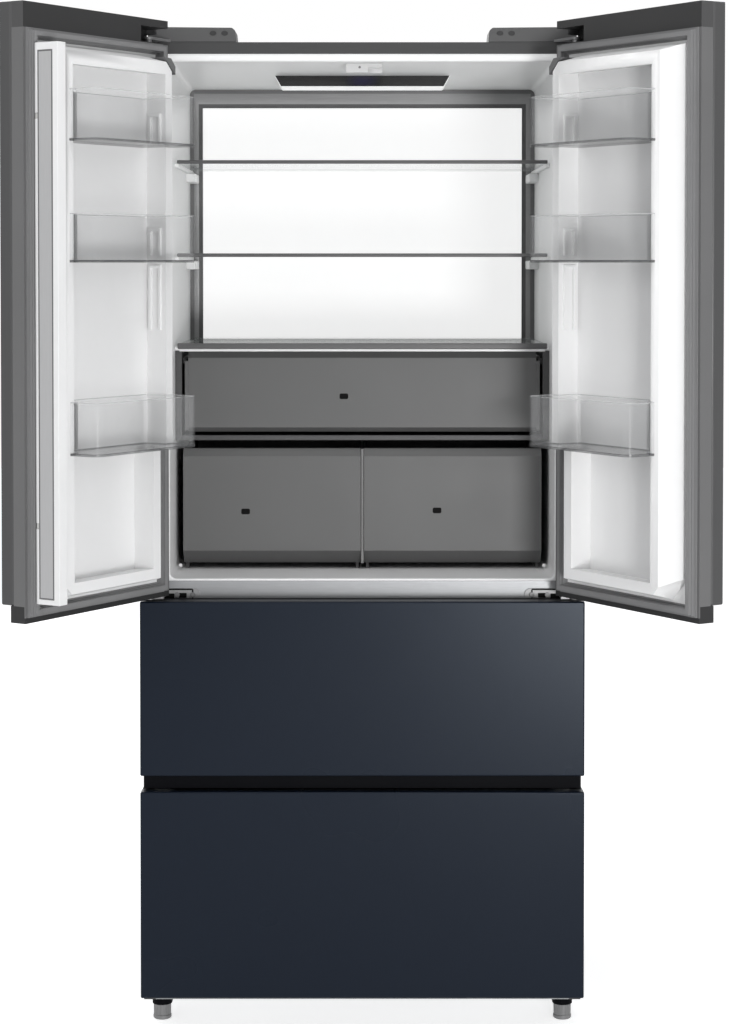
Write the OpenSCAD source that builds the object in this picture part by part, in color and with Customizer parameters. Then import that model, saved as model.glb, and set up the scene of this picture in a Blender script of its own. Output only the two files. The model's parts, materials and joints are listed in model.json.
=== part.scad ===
// French door refrigerator: two doors over a wide fresh food compartment, two freezer drawers below.
// Millimetres, +Z up, +X to the right, +Y from the front to the back.
// Origin: floor level, at the middle of the whole part's box with the doors open.

/* [Case] */
// Width of the case and of the drawers
case_w = 833; // [790:1:900]
// Top of the case above the floor
case_top = 1866; // [1850:1:1950]
// Depth from the face of the closed doors to the back of the case
depth = 700; // [680:1:780]
// Side walls, from the outer sheet to the inner liner
wall_t = 51.5; // [46:0.5:60]
// Top wall at its front edge
top_wall_t = 37; // [30:1:50]
// Rear wall of the fresh food compartment
rear_wall_t = 78; // [60:1:90]
// Steel sheet of the case and of the door fronts
sheet_t = 1; // [0.6:0.1:1.4]
// Plastic liners
liner_t = 2; // [1.4:0.1:2.6]
// Steel band that frames the front of the case
band_w = 22; // [16:1:26]
// Underside of the case above the floor
base_z = 44; // [40:1:54]

/* [Compartments] */
// Floor of the fresh food compartment
fridge_floor = 850; // [846:1:862]
// Fall of the ceiling from its front to its back
ceiling_fall = 13; // [0:1:20]
// Wall between the fresh food compartment and the freezer
divider_t = 60; // [50:1:64]
// Floor of the freezer
freezer_floor = 104; // [98:1:112]
// Rear wall of the freezer
freezer_rear_t = 95; // [80:1:110]
// Height of the step in the freezer floor over the machine bay
step_z = 330; // [320:1:338]
// Front of that step behind the face of the doors
step_y = 430; // [425:1:445]
// Insulation round the machine bay
bay_wall_t = 38; // [30:1:50]
// Bottom of the bar between the two drawers
mid_bar_z = 442; // [438:1:450]
// Height of that bar
mid_bar_h = 56; // [48:1:58]
// Depth of that bar
mid_bar_d = 40; // [25:1:60]

/* [Doors] */
// Thickness of a door without its seal
door_t = 54.5; // [50:0.5:60]
// Thickness of the seal between a door and the case
seal_t = 15.5; // [12:0.5:18]
// Height of the doors above the top of the case
door_rise = 34; // [31:1:40]
// Bottom of the doors above the floor
door_bottom = 825; // [822:1:830]
// Height of the grip recess under a door or a drawer front
grip_h = 29.5; // [24:0.5:32]
// Depth of the grip recess behind the face
grip_d = 22; // [20:0.5:26]
// Gap between the two doors
door_gap = 5; // [3:0.5:8]
// Angle at which the doors stand open
open_deg = 122; // [100:1:125]
// Depth of the folded edges of a steel front
skin_return = 29; // [24:1:34]
// Height of the dark cap on top of a door
cap_h = 45; // [40:1:60]
// Height of the raised border of a door liner above the door's back
dike_h = 57.5; // [45:0.5:62]
// Thickness of the raised panel inside that border
panel_t = 10.5; // [6:0.5:16]
// Width of the seals
seal_w = 20; // [16:1:22]

/* [Hinges] */
// Hinge axis from the side of the case
hinge_in = 17; // [15:0.5:20]
// Hinge axis behind the face of the doors
hinge_y = 22; // [20:0.5:24]
// Radius of the hinge pins
pin_r = 4; // [3:0.5:5]
// Thickness of the hinge plates
plate_t = 5; // [3:0.5:6]

/* [Door shelves] */
// Heights of the three door shelves above the floor
bin_z = [1115, 1450, 1660]; // heights
// Heights of their walls
bin_h = [93, 85, 90]; // heights
// Distance that they stand in front of the raised border
bin_reach = 62; // [40:1:66]
// Wall thickness of door shelves, crispers and baskets
bin_t = 3; // [2:0.5:4]

/* [Folding mullion] */
// Width of the folding mullion
mull_w = 55; // [48:1:60]
// Thickness of the folding mullion
mull_t = 22; // [18:1:24]
// Gap above and below the folding mullion
mull_gap = 2; // [2:0.5:6]

/* [Shelves] */
// Top of the first glass shelf above the cover over the crispers
first_shelf = 174; // [150:1:200]
// Distance between the glass shelves
shelf_pitch = 181; // [150:1:200]
// Least height left above the top shelf
head_room = 100; // [80:1:160]
// Thickness of the glass
glass_t = 5; // [4:0.5:6]
// Front edge of the shelves behind the face of the doors
shelf_y = 190; // [185:1:210]

/* [Crispers] */
// Height of the two lower crispers
low_h = 226; // [200:1:236]
// Height of the wide crisper
wide_h = 157; // [120:1:170]
// Space between the lower crispers and the wide one
crisper_gap = 32; // [24:1:44]
// Gap between the wide crisper and the ledges over it
wide_gap = 2; // [1:0.5:6]

/* [Drawers] */
// Bottom of the lower drawer front
lower_z = 67.5; // [62:0.5:72]
// Height of the lower drawer front
lower_h = 390; // [384:1:392]
// Height of the dark lip under the upper drawer front
lip_h = 27; // [20:1:32]
// Top of the upper drawer front
upper_top = 816; // [812:0.5:817]
// Gap between the drawers
drawer_gap = 3; // [2:0.5:5]
// Width of the hangers between a basket and its rails
hanger_w = 10; // [8:1:40]

/* [Base] */
// Levelling feet from the side of the case
foot_in = 32.5; // [26:0.5:45]
// Levelling feet behind the face of the doors
foot_y = 100; // [95:1:130]
// Radius of the feet
foot_r = 17.5; // [14:0.5:22]
// Radius of the rear rollers
roller_r = 20; // [16:1:24]

/* [Clearances] */
// Running clearance between parts that slide
slide_c = 0.3; // [0.3:0.05:0.6]
// Radial clearance of a pin in its bore
bore_c = 0.05; // [0.02:0.01:0.1]

/* [Hidden] */
$fn = 48;

half_w = case_w / 2;
case_y = door_t + seal_t;
skid_h = 11;
low_z = fridge_floor + skid_h;
low_top = low_z + low_h;
wide_z = low_top + crisper_gap;
wide_top = wide_z + wide_h;
ledge_h = 8;
ledge_w = 8;
cover_under = wide_top + wide_gap + ledge_h;
cover_top = cover_under + glass_t;
cover_drop = 2;
cover_z = cover_top + cover_drop;
inner_w = half_w - wall_t;
liner_w = inner_w + liner_t;
back_y = depth - rear_wall_t;
duct_t = 12;
duct_frame_t = 16;
duct_front = back_y - duct_frame_t;
duct_side = 27;
duct_head = 39;
flange_drop = 4;
lower_flange = 20;
ceiling_z = case_top - top_wall_t;
ceiling_back = ceiling_z - ceiling_fall;
shelf_z = [for (z = [cover_z + first_shelf : shelf_pitch : ceiling_back - head_room]) z];
freezer_top = fridge_floor - divider_t;
freezer_back = depth - freezer_rear_t;
foam_back = depth - sheet_t;
foam_y = case_y + liner_t;
foam_z = base_z + sheet_t;
foam_seam = 0.2;
bay_y = step_y + liner_t + bay_wall_t;
bay_top = step_z - liner_t - bay_wall_t;

hinge_x = half_w - hinge_in;
door_top = case_top + door_rise;
skin_bottom = door_bottom + grip_h;
cap_bottom = door_top - cap_h;
leaf_in = door_gap / 2;
dike_y = door_t + dike_h;
panel_y = door_t + panel_t;
upper_lip = lower_z + lower_h + drawer_gap;
upper_skin = upper_lip + lip_h;

// The folding mullion's axis lies inside it, and its left front edge is round about that axis.
mull_r = 10;
mull_x = -(mull_w / 2 - mull_r + 0.5);
mull_y = case_y + mull_r;
mull_z = fridge_floor + 11;
mull_top = ceiling_z - mull_gap;
mull_pin_r = 3;
mull_lugs = [mull_z + 130, mull_top - 130];
lug_h = 10;

// Where the folded mullion reaches furthest to the front, measured from the hinge axis.
tip_x = hinge_x + mull_x - (case_y - mull_y);
tip_y = mull_y + mull_w / 2 - mull_x - hinge_y;
reach = tip_x * sin(open_deg) - tip_y * cos(open_deg) - hinge_y;
y_face = round((reach - depth) / 2);

ceiling_gap = 0.1;
function ceil_at(y) = ceiling_z - ceiling_fall * (y - case_y) / (duct_front - case_y) - ceiling_gap;

// A block between two corners.
module box(x0, x1, y0, y1, z0, z1) {
    translate([x0, y0, z0]) cube([x1 - x0, y1 - y0, z1 - z0]);
}

// An outline in Y and Z, drawn out along X.
module profile_x(x0, x1, points) {
    translate([x0, 0, 0]) rotate([90, 0, 90]) linear_extrude(x1 - x0) polygon(points);
}

// An outline in X and Y, drawn up along Z.
module profile_z(z0, z1, points) {
    translate([0, 0, z0]) linear_extrude(z1 - z0) polygon(points);
}

// A round bar along Z, X or Y.
module bar_z(x, y, z0, z1, r) {
    translate([x, y, z0]) cylinder(h = z1 - z0, r = r);
}
module bar_x(x0, x1, y, z, r) {
    translate([x0, y, z]) rotate([0, 90, 0]) cylinder(h = x1 - x0, r = r);
}
module bar_y(x, y0, y1, z, r) {
    translate([x, y0, z]) rotate([-90, 0, 0]) cylinder(h = y1 - y0, r = r);
}

// The same piece on both sides.
module both() {
    for (side = [0, 1]) mirror([side, 0, 0]) children();
}

// From the face of the closed doors to the part's own origin.
module cab() {
    translate([0, y_face, 0]) children();
}

// The left door is drawn closed and stands open.
module left_leaf() {
    cab() translate([-hinge_x, hinge_y, 0]) rotate([0, 0, -open_deg]) translate([hinge_x, -hinge_y, 0]) children();
}
module right_leaf() {
    mirror([1, 0, 0]) left_leaf() children();
}
module folded() {
    translate([mull_x, mull_y, 0]) rotate([0, 0, 90]) translate([-mull_x, -mull_y, 0]) children();
}

// ---- Case ----

// Steel sheet bent round the sides and the top, with its front edges folded inwards.
module case_wrap() {
    color("dimgray") cab() {
        difference() {
            box(-half_w, half_w, case_y, depth, base_z, case_top);
            box(sheet_t - half_w, half_w - sheet_t, case_y + sheet_t, depth + 1, base_z - 1, case_top - sheet_t);
            box(band_w - half_w, half_w - band_w, case_y - 1, case_y + sheet_t + 1, base_z - 1, case_top - band_w);
        }
    }
}

// Back sheet, with a strip beside the machine bay on each side.
module rear_panel() {
    w = half_w - sheet_t;
    color("gray") cab() {
        box(-w, w, foam_back, depth, bay_top, case_top - sheet_t);
        both() box(liner_w, w, foam_back, depth, foam_z, bay_top);
    }
}

// Cast in sections, with hairline seams where they meet.
module cabinet_foam() {
    outer = half_w - sheet_t;
    inner = liner_w;
    core = liner_w - foam_seam;
    rear_y = back_y + liner_t;
    low_rear_y = freezer_back + liner_t;
    roof = case_top - sheet_t;
    color("khaki") cab() {
        both() box(inner, outer, foam_y, foam_back, foam_z, roof);
        profile_x(-core, core, [
            [foam_y, ceiling_z + liner_t], [duct_front, ceiling_back + liner_t],
            [foam_back, ceiling_back + liner_t], [foam_back, roof], [foam_y, roof]
        ]);
        box(-core, core, rear_y, foam_back, fridge_floor - liner_t, ceiling_back + liner_t - foam_seam);
        box(-core, core, foam_y, foam_back, freezer_top + liner_t, fridge_floor - liner_t - foam_seam);
        box(-core, core, low_rear_y, foam_back, step_z, freezer_top + liner_t - foam_seam);
        box(-core, core, step_y + liner_t, foam_back, bay_top, step_z - liner_t);
        box(-core, core, step_y + liner_t, bay_y, foam_z, bay_top - foam_seam);
        box(-core, core, foam_y, step_y + liner_t - foam_seam, foam_z, freezer_floor - liner_t);
    }
}

ledge_y = shelf_y + 12;
lump_w = 19;
lump_d = 130;
lump_h = 18;

// A ledge along each side wall carries the glass, and a lump at the back stiffens it.
module side_ledge(top) {
    both() box(inner_w - ledge_w, inner_w, ledge_y, duct_front, top - ledge_h, top);
}

module rear_ledge(top) {
    both() box(inner_w - lump_w, inner_w, back_y - lump_d, duct_front, top - lump_h, top);
}

module fridge_liner() {
    flange_w = half_w - band_w;
    flange_top = case_top - band_w;
    floor_z = fridge_floor;
    front = case_y;
    color("white") cab() {
        difference() {
            union() {
                profile_x(-liner_w, liner_w, [
                    [front, floor_z - liner_t], [back_y + liner_t, floor_z - liner_t],
                    [back_y + liner_t, ceiling_back + liner_t],
                    [duct_front, ceiling_back + liner_t], [front, ceiling_z + liner_t]
                ]);
                box(-flange_w, flange_w, front, front + liner_t, floor_z - flange_drop, flange_top);
            }
            profile_x(-inner_w, inner_w, [
                [front - 1, floor_z], [back_y, floor_z], [back_y, ceiling_back],
                [duct_front, ceiling_back], [front, ceiling_z], [front - 1, ceiling_z]
            ]);
        }
        for (z = shelf_z) {
            side_ledge(z - glass_t);
            rear_ledge(z - glass_t - ledge_h);
        }
        side_ledge(cover_under);
    }
}

module freezer_liner() {
    flange_w = half_w - band_w;
    low = freezer_floor;
    t = liner_t;
    color("white") cab() difference() {
        union() {
            profile_x(-liner_w, liner_w, [
                [case_y, low - t], [step_y + t, low - t], [step_y + t, step_z - t],
                [freezer_back + t, step_z - t], [freezer_back + t, freezer_top + t], [case_y, freezer_top + t]
            ]);
            box(-flange_w, flange_w, case_y, case_y + t, low - lower_flange, freezer_top + t);
        }
        profile_x(-inner_w, inner_w, [
            [case_y - 1, low], [step_y, low], [step_y, step_z],
            [freezer_back, step_z], [freezer_back, freezer_top], [case_y - 1, freezer_top]
        ]);
    }
}

// Steel bars across the front: over the upper drawer, between the drawers, and under the lower one.
module crossbars() {
    w = half_w - band_w;
    color("silver") cab() {
        box(-w, w, case_y, case_y + sheet_t, freezer_top + liner_t, fridge_floor - flange_drop);
        difference() {
            box(-inner_w, inner_w, case_y, case_y + mid_bar_d, mid_bar_z, mid_bar_z + mid_bar_h);
            box(-inner_w - 1, inner_w + 1, case_y + sheet_t, case_y + mid_bar_d - sheet_t,
                mid_bar_z + sheet_t, mid_bar_z + mid_bar_h - sheet_t);
        }
        box(-w, w, case_y, case_y + sheet_t, foam_z, freezer_floor - lower_flange);
    }
}

// ---- Inside the fresh food compartment ----

module duct_panel() {
    w = inner_w - duct_side;
    color("white") cab() box(-w, w, back_y - duct_t, back_y, fridge_floor, ceiling_back - duct_head);
}

module duct_frame() {
    w = inner_w - duct_side;
    front = duct_front;
    top = ceiling_back;
    color("gray") cab() difference() {
        box(-inner_w, inner_w, front, back_y, fridge_floor, top);
        box(-w, w, front - 1, back_y + 1, fridge_floor - 1, top - duct_head);
    }
}

console_y = 322;
console_d = 100;
console_w = 175;
console_h = 22;
console_slope = 12;
glass_d = 2;

// The console hangs from the ceiling, and its lower side edges slope inwards.
module console_outline(grow) {
    top = ceil_at(console_y);
    low = top - console_h;
    polygon([
        [-console_w + grow, top], [console_w - grow, top],
        [console_w - console_slope - grow, low + grow], [-console_w + console_slope + grow, low + grow]
    ]);
}

module ceiling_console() {
    back = console_y + console_d;
    color("whitesmoke") cab() intersection() {
        translate([0, back, 0]) rotate([90, 0, 0]) linear_extrude(console_d) console_outline(0);
        profile_x(-console_w, console_w, [
            [console_y, ceil_at(console_y) - console_h], [back, ceil_at(console_y) - console_h],
            [back, ceil_at(back)], [console_y, ceil_at(console_y)]
        ]);
    }
}

module display_glass() {
    color("black") cab() translate([0, console_y, 0]) rotate([90, 0, 0]) linear_extrude(glass_d) console_outline(1);
}

shelf_w = inner_w - 5;
shelf_back = 4;
trim_d = 5;
trim_lap = 1;

module glass_shelf(top) {
    box(-shelf_w, shelf_w, shelf_y + trim_d, duct_front - shelf_back, top - glass_t, top);
}

module glass_shelves() {
    color("lightcyan") cab() for (z = shelf_z) glass_shelf(z);
}

module shelf_trims() {
    color("gray") cab() for (z = shelf_z) {
        box(-shelf_w, shelf_w, shelf_y, shelf_y + trim_d, z - glass_t - trim_lap, z + trim_lap);
    }
}

cover_trim_d = 8;
cover_trim_h = 11;

module crisper_cover() {
    w = shelf_w;
    color("lightcyan") cab() {
        box(-w, w, ledge_y, duct_front - shelf_back, cover_under, cover_top);
        box(-w, w, ledge_y - cover_trim_d, ledge_y, cover_z - cover_trim_h, cover_z);
    }
}

wide_w = inner_w - 25;
wide_y = shelf_y + 16;
low_y = shelf_y + 10;
low_gap = 6;
panel_d = 14;
crisper_back = back_y - 34;
bevel_top = 12;
bevel_low = 9;
frame_z = wide_z - 14;
frame_t = 6;
frame_lip = 2;
frame_side = inner_w - 13;
rail_z = wide_top - 14;
rail_lip = 9;

// Divider under the wide crisper, with the side frames that its flanges run on.
module crisper_frame() {
    w = inner_w - slide_c;
    lip = frame_lip;
    color("dimgray") cab() {
        box(-w, w, wide_y, duct_front - shelf_back, frame_z, frame_z + frame_t);
        box(-w, w, wide_y - lip, wide_y + lip, frame_z - lip, frame_z + frame_t + lip);
        both() {
            box(frame_side, w, wide_y - 6, crisper_back, frame_z - lip, cover_under - ledge_h);
            box(wide_w + 4, frame_side, wide_y + 20, crisper_back, rail_z - 10 - slide_c, rail_z - slide_c);
        }
    }
}

// The wide crisper: front face, with its top and bottom edges sloping back.
module wide_crisper() {
    y = wide_y;
    color("gray") cab() {
        difference() {
            profile_x(-wide_w, wide_w, [
                [y, wide_z + bevel_low], [y + bevel_low, wide_z], [crisper_back, wide_z],
                [crisper_back, wide_top], [y + bevel_top, wide_top], [y, wide_top - bevel_top]
            ]);
            box(bin_t - wide_w, wide_w - bin_t, y + panel_d, crisper_back - bin_t, wide_z + bin_t, wide_top + 1);
        }
        both() box(wide_w, wide_w + rail_lip, y + 34, crisper_back, rail_z, rail_z + 4);
    }
}

low_bevel = 26;
low_side = 15;
skid_w = 6;

// One of the two lower crispers, on skids that slide on the floor of the liner.
module low_crisper() {
    y = low_y;
    x0 = low_gap / 2;
    x1 = inner_w - low_side;
    difference() {
        profile_x(x0, x1, [
            [y, low_z + low_bevel], [y + low_bevel, low_z], [crisper_back, low_z],
            [crisper_back, low_top], [y + bevel_top, low_top], [y, low_top - 15]
        ]);
        box(x0 + bin_t, x1 - bin_t, y + panel_d + 10, crisper_back - bin_t, low_z + bin_t, low_top + 1);
    }
    for (x = [x0 + 4, x1 - 4 - skid_w]) {
        box(x, x + skid_w, y + low_bevel, crisper_back, fridge_floor + slide_c, low_z);
    }
}

module left_crisper() {
    color("gray") cab() mirror([1, 0, 0]) low_crisper();
}

module right_crisper() {
    color("gray") cab() low_crisper();
}

guide_x0 = -31;
guide_x1 = 38;
guide_y = case_y + mull_t + 4;
guide_d = 34;
guide_h = 16;

// Block on the ceiling, with a round notch that turns the mullion.
module mullion_guide() {
    x0 = guide_x0;
    x1 = guide_x1;
    y0 = guide_y;
    y1 = y0 + guide_d;
    low = mull_top - guide_h;
    color("whitesmoke") cab() difference() {
        profile_x(x0, x1, [[y0, low], [y1, low], [y1, ceil_at(y1)], [y0, ceil_at(y0)]]);
        bar_z(x1 - 8, y0 - 6, low - 1, low + 9, 20);
    }
}

// ---- Hinges ----

lower_plate_z = upper_top + 1.5;
boss_h = 24;
arm_r = pin_r + 5;
flange_t = 3;
flange_l = 80;
plate_l = 70;
plate_d = 58;
plate_neck = 38;
screw_x = [22, 56];
screw_y = [20, 46];
low_screw_x = [48, 78];

module hinge_brackets() {
    arm = arm_r;
    top = case_top;
    low = lower_plate_z;
    front = case_y - flange_t;
    color("silver") cab() both() translate([hinge_x, 0, 0]) {
        // Upper plate, screwed to the top of the case, with its pin pointing down
        bar_z(0, hinge_y, top, top + plate_t, arm);
        profile_z(top, top + plate_t, [
            [arm, hinge_y], [-arm * 0.8, hinge_y - arm * 0.6], [-plate_neck, case_y + 2], [-plate_l, case_y + 12],
            [-plate_l, case_y + plate_d], [-10, case_y + plate_d], [-10, case_y + 2], [-4, case_y - 10]
        ]);
        bar_z(0, hinge_y, pocket_z0 - boss_h + 4, top, pin_r);
        bar_z(0, hinge_y, pocket_z0 + slide_c, top, pin_r + 3);
        // Lower angle bracket on the bar, with its pin pointing up
        bar_z(0, hinge_y, low, low + plate_t, arm);
        box(-26, arm, hinge_y, case_y, low, low + plate_t);
        box(-flange_l, arm, front, case_y, low - 10, low + 14);
        bar_y(-flange_l, front, case_y, low + 2, 12);
        bar_z(0, hinge_y, low, door_bottom + boss_h - 4, pin_r);
        bar_z(0, hinge_y, low, door_bottom - slide_c, pin_r + 4);
    }
}

cover_x1 = half_w - 11.5;
cover_l = 167;
cover_x0 = cover_x1 - cover_l;
cover_d = 84;
cover_h = 29;
cover_t = 3;

// Hollow caps over the upper hinge plates, sloping down towards the middle.
module hinge_covers() {
    front = case_y + 1;
    back = front + cover_d;
    color("dimgray") cab() both() difference() {
        translate([0, back, 0]) rotate([90, 0, 0]) linear_extrude(cover_d) polygon([
            [cover_x0, case_top], [cover_x1, case_top], [cover_x1, case_top + cover_h],
            [cover_x0 + 26, case_top + cover_h], [cover_x0, case_top + 13]
        ]);
        box(hinge_x - plate_l - 6, cover_x1 - cover_t, front - 1, back - cover_t, case_top - 1, case_top + cover_h - cover_t);
    }
}

head_r = 6;
head_h = 4;

module hinge_screws() {
    color("silver") cab() both() translate([hinge_x, 0, 0]) {
        for (x = screw_x) {
            for (y = screw_y) {
                bar_z(-x, case_y + y, case_top + plate_t, case_top + plate_t + head_h, head_r);
            }
        }
        for (x = low_screw_x) {
            bar_y(-x, case_y - 2 * flange_t, case_y - flange_t, lower_plate_z + 2, head_r - 1);
        }
    }
}

// ---- Freezer fittings ----

rail_h = 38;
upper_rail_z = 560;
lower_rail_z = step_z + 15;
rail_back = freezer_back - 66;
rail_w = 9;
slide_w = 7.4;
move_w = 8;
fixed_x = inner_w - rail_w;
mid_x = fixed_x - slide_c - slide_w;
move_x = mid_x - slide_c - move_w;
basket_w = move_x - hanger_w;

module freezer_rails() {
    color("silver") cab() both() for (z = [lower_rail_z, upper_rail_z]) {
        box(fixed_x, inner_w, case_y + 42, rail_back, z, z + rail_h);
    }
}

fan_z = 670;
fan_r = 60;
fan_gap = 4;
fan_t = 20;
hub_r = 20;
blade_w = 18;
blade_t = 3;
blade_deg = 35;
spindle_r = 3;
plate_w = 3;
cover_plate_y = freezer_back - 46;
slot_z = 350;

module evaporator_cover() {
    top = freezer_top;
    y = cover_plate_y;
    arm = fan_r + fan_gap;
    color("white") cab() {
        difference() {
            box(-inner_w, inner_w, y, y + plate_w, step_z, top);
            bar_y(0, y - 1, y + plate_w + 1, fan_z, fan_r + fan_gap);
            for (x = [-240:60:240]) {
                box(x - 20, x + 20, y - 1, y + plate_w + 1, slot_z, slot_z + 8);
            }
        }
        // Spider that carries the fan's spindle
        box(-arm, arm, y, y + plate_w, fan_z - 6, fan_z + 6);
        bar_y(0, y, y + plate_w + fan_t + 3, fan_z, spindle_r);
    }
}

module fan_rotor() {
    y0 = cover_plate_y + plate_w + slide_c;
    root = hub_r - 4;
    color("black") cab() difference() {
        union() {
            bar_y(0, y0, y0 + fan_t, fan_z, hub_r);
            for (turn = [0:72:288]) {
                translate([0, y0 + fan_t / 2, fan_z]) rotate([0, turn, 0]) translate([root, 0, 0])
                    rotate([blade_deg, 0, 0]) translate([0, -blade_t / 2, -blade_w / 2])
                    cube([fan_r - root - 2, blade_t, blade_w]);
            }
        }
        bar_y(0, y0 - 1, y0 + fan_t + 1, fan_z, spindle_r + bore_c);
    }
}

// ---- Base and machine bay ----

roller_x = half_w - 45;
roller_w = 26;
roller_y = depth - 62;
axle_r = 4;
cheek_t = 3;
cheek_d = 22;
roller_edge = 2;

module base_pan() {
    w = half_w - sheet_t;
    cheek = roller_w / 2 + slide_c;
    color("gray") cab() {
        box(-w, w, case_y + sheet_t, depth - sheet_t, base_z, foam_z);
        both() {
            for (x = [roller_x - cheek - cheek_t, roller_x + cheek]) {
                box(x, x + cheek_t, roller_y - cheek_d, roller_y + cheek_d, roller_r - 10, base_z);
            }
            bar_x(roller_x - cheek - cheek_t, roller_x + cheek + cheek_t, roller_y, roller_r, axle_r);
        }
    }
}

foot_x = half_w - foot_in;
foot_pad_h = 10;
foot_stem_r = 5;
housing_z = 20;
housing_t = 1.5;
housing_d = 45;
hex_r = 10;
hex_h = 7;

module foot_housings() {
    r = foot_r + housing_t;
    color("black") cab() both() difference() {
        union() {
            bar_z(foot_x, foot_y, housing_z, base_z, r);
            box(foot_x - r, foot_x + r, foot_y, foot_y + housing_d, housing_z + 4, base_z);
        }
        bar_z(foot_x, foot_y, housing_z - 1, base_z - 2, foot_stem_r + bore_c);
    }
}

// A levelling foot: pad, hexagon for the spanner, and stem.
module foot(side) {
    cab() translate([side * foot_x, foot_y, 0]) {
        rotate_extrude() polygon([
            [0, 0], [foot_r - 2, 0], [foot_r, 2], [foot_r, foot_pad_h - 3], [foot_r - 3, foot_pad_h], [0, foot_pad_h]
        ]);
        translate([0, 0, foot_pad_h]) cylinder(h = hex_h, r = hex_r, $fn = 6);
        cylinder(h = base_z - 4, r = foot_stem_r);
    }
}

module left_foot() {
    color("black") foot(-1);
}

module right_foot() {
    color("black") foot(1);
}

module roller(side) {
    r = roller_r;
    w = roller_w / 2;
    edge = roller_edge;
    cab() translate([side * roller_x, roller_y, r]) rotate([0, 90, 0]) rotate_extrude() polygon([
        [axle_r + bore_c, -w], [r - edge, -w], [r, edge - w], [r, w - edge], [r - edge, w], [axle_r + bore_c, w]
    ]);
}

module left_roller() {
    color("dimgray") roller(-1);
}

module right_roller() {
    color("dimgray") roller(1);
}

comp_x = -130;
comp_r = 78;
comp_y = (bay_y + depth) / 2;
comp_z = 22;
comp_h = 160;
comp_edge = 12;
comp_dome = 20;
comp_crown = 40;
stub_z = 110;
stub_l = 30;
stub_r = 5;
tray_w = 95;
tray_d = 60;
tray_t = 6;
mount_x = 82;
mount_y = 48;
mount_r = 11;

// Hermetic compressor: a domed can on a plate with four rubber feet.
module compressor() {
    low = foam_z;
    color("black") cab() translate([comp_x, comp_y, low]) {
        translate([0, 0, comp_z]) rotate_extrude() polygon([
            [0, 0], [comp_r - comp_edge, 0], [comp_r, comp_edge + 4], [comp_r, stub_z],
            [comp_r - comp_edge, comp_h - comp_dome], [comp_r - comp_crown, comp_h - 4], [0, comp_h]
        ]);
        box(-tray_w, tray_w, -tray_d, tray_d, comp_z - tray_t, comp_z);
        for (x = [-mount_x, mount_x]) {
            for (y = [-mount_y, mount_y]) {
                bar_z(x, y, 0, comp_z - tray_t, mount_r);
            }
        }
        bar_x(-comp_r - stub_l, -comp_r + 8, 0, stub_z, stub_r);
    }
}

gland_x = 300;
gland_z = 120;
gland_r = 9;
cord_hole_r = 4;
gland_l = 14;
gland_lip = 4;
grille_t = 1.5;
louvre_w = 34;
louvre_h = 7;
louvre_pitch = 18;
louvre_step = 100;

module machine_cover() {
    w = liner_w;
    color("dimgray") cab() difference() {
        box(-w, w, depth - grille_t, depth, foam_z, bay_top);
        for (z = [foam_z + 30 : louvre_pitch : bay_top - 40]) {
            for (x = [-3 * louvre_step : louvre_step : 2 * louvre_step]) {
                box(x - louvre_w, x + louvre_w, depth - 3, depth + 1, z, z + louvre_h);
            }
        }
        bar_y(gland_x, depth - 3, depth + 1, gland_z, gland_r);
    }
}

// Strain relief that the mains cord leaves through.
module cord_gland() {
    color("black") cab() difference() {
        union() {
            bar_y(gland_x, depth - gland_l, depth, gland_z, gland_r);
            bar_y(gland_x, depth - gland_l, depth - grille_t, gland_z, gland_r + gland_lip);
        }
        bar_y(gland_x, depth - gland_l - 1, depth + 1, gland_z, cord_hole_r);
    }
}

// ---- Doors, drawn closed on the left side ----

pocket_x = 65;
pocket_z0 = cap_bottom + 2;
pocket_z1 = door_top - 14;
pocket_y = 5.5;

// The space in the top corner of a door for the upper hinge plate.
module hinge_pocket() {
    box(-half_w - 1, pocket_x - hinge_x, pocket_y, door_t + 1, pocket_z0, pocket_z1);
}

module door_skin() {
    z0 = skin_bottom;
    z1 = door_top;
    t = sheet_t;
    difference() {
        box(-half_w, -leaf_in, 0, skin_return, z0, z1);
        box(t - half_w, -leaf_in - t, t, skin_return + 1, z0 - 1, z1 + 1);
        hinge_pocket();
    }
    box(t - half_w, -leaf_in - t, t, grip_d, z0, z0 + t);
}

module door_foam() {
    inset = liner_t;
    boss = pin_r + 9;
    difference() {
        box(inset - half_w, -leaf_in - inset, sheet_t, door_t - liner_t, skin_bottom + sheet_t, cap_bottom);
        box(-hinge_x - boss, boss - hinge_x, hinge_y - boss, hinge_y + boss, pocket_z0 - boss_h - 1, cap_bottom + 1);
    }
}

module door_caps() {
    boss = pin_r + 8;
    t = sheet_t;
    // Top cap
    difference() {
        union() {
            box(t - half_w, -leaf_in - t, t, skin_return, cap_bottom, door_top);
            box(-half_w, -leaf_in, skin_return, door_t, cap_bottom, door_top);
            bar_z(-hinge_x, hinge_y, pocket_z0 - boss_h, cap_bottom + 1, boss);
        }
        hinge_pocket();
        bar_z(-hinge_x, hinge_y, pocket_z0 - boss_h + 2, pocket_z0 + 1, pin_r + bore_c);
    }
    // Bottom cap
    difference() {
        union() {
            box(-half_w, -leaf_in, grip_d, door_t - liner_t, door_bottom, skin_bottom);
            box(-half_w, -leaf_in, door_t - liner_t, door_t, door_bottom, door_bottom + 10);
            bar_z(-hinge_x, hinge_y, door_bottom, skin_bottom, pin_r + 6);
        }
        bar_z(-hinge_x, hinge_y, door_bottom - 1, door_bottom + boss_h, pin_r + bore_c);
    }
}

seal_top = cap_bottom;
seal_bottom = door_bottom + 10;
seal_in = 1;
seal_foot = 6;
seal_step = 2;
seal_free = 8.5;

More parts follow.
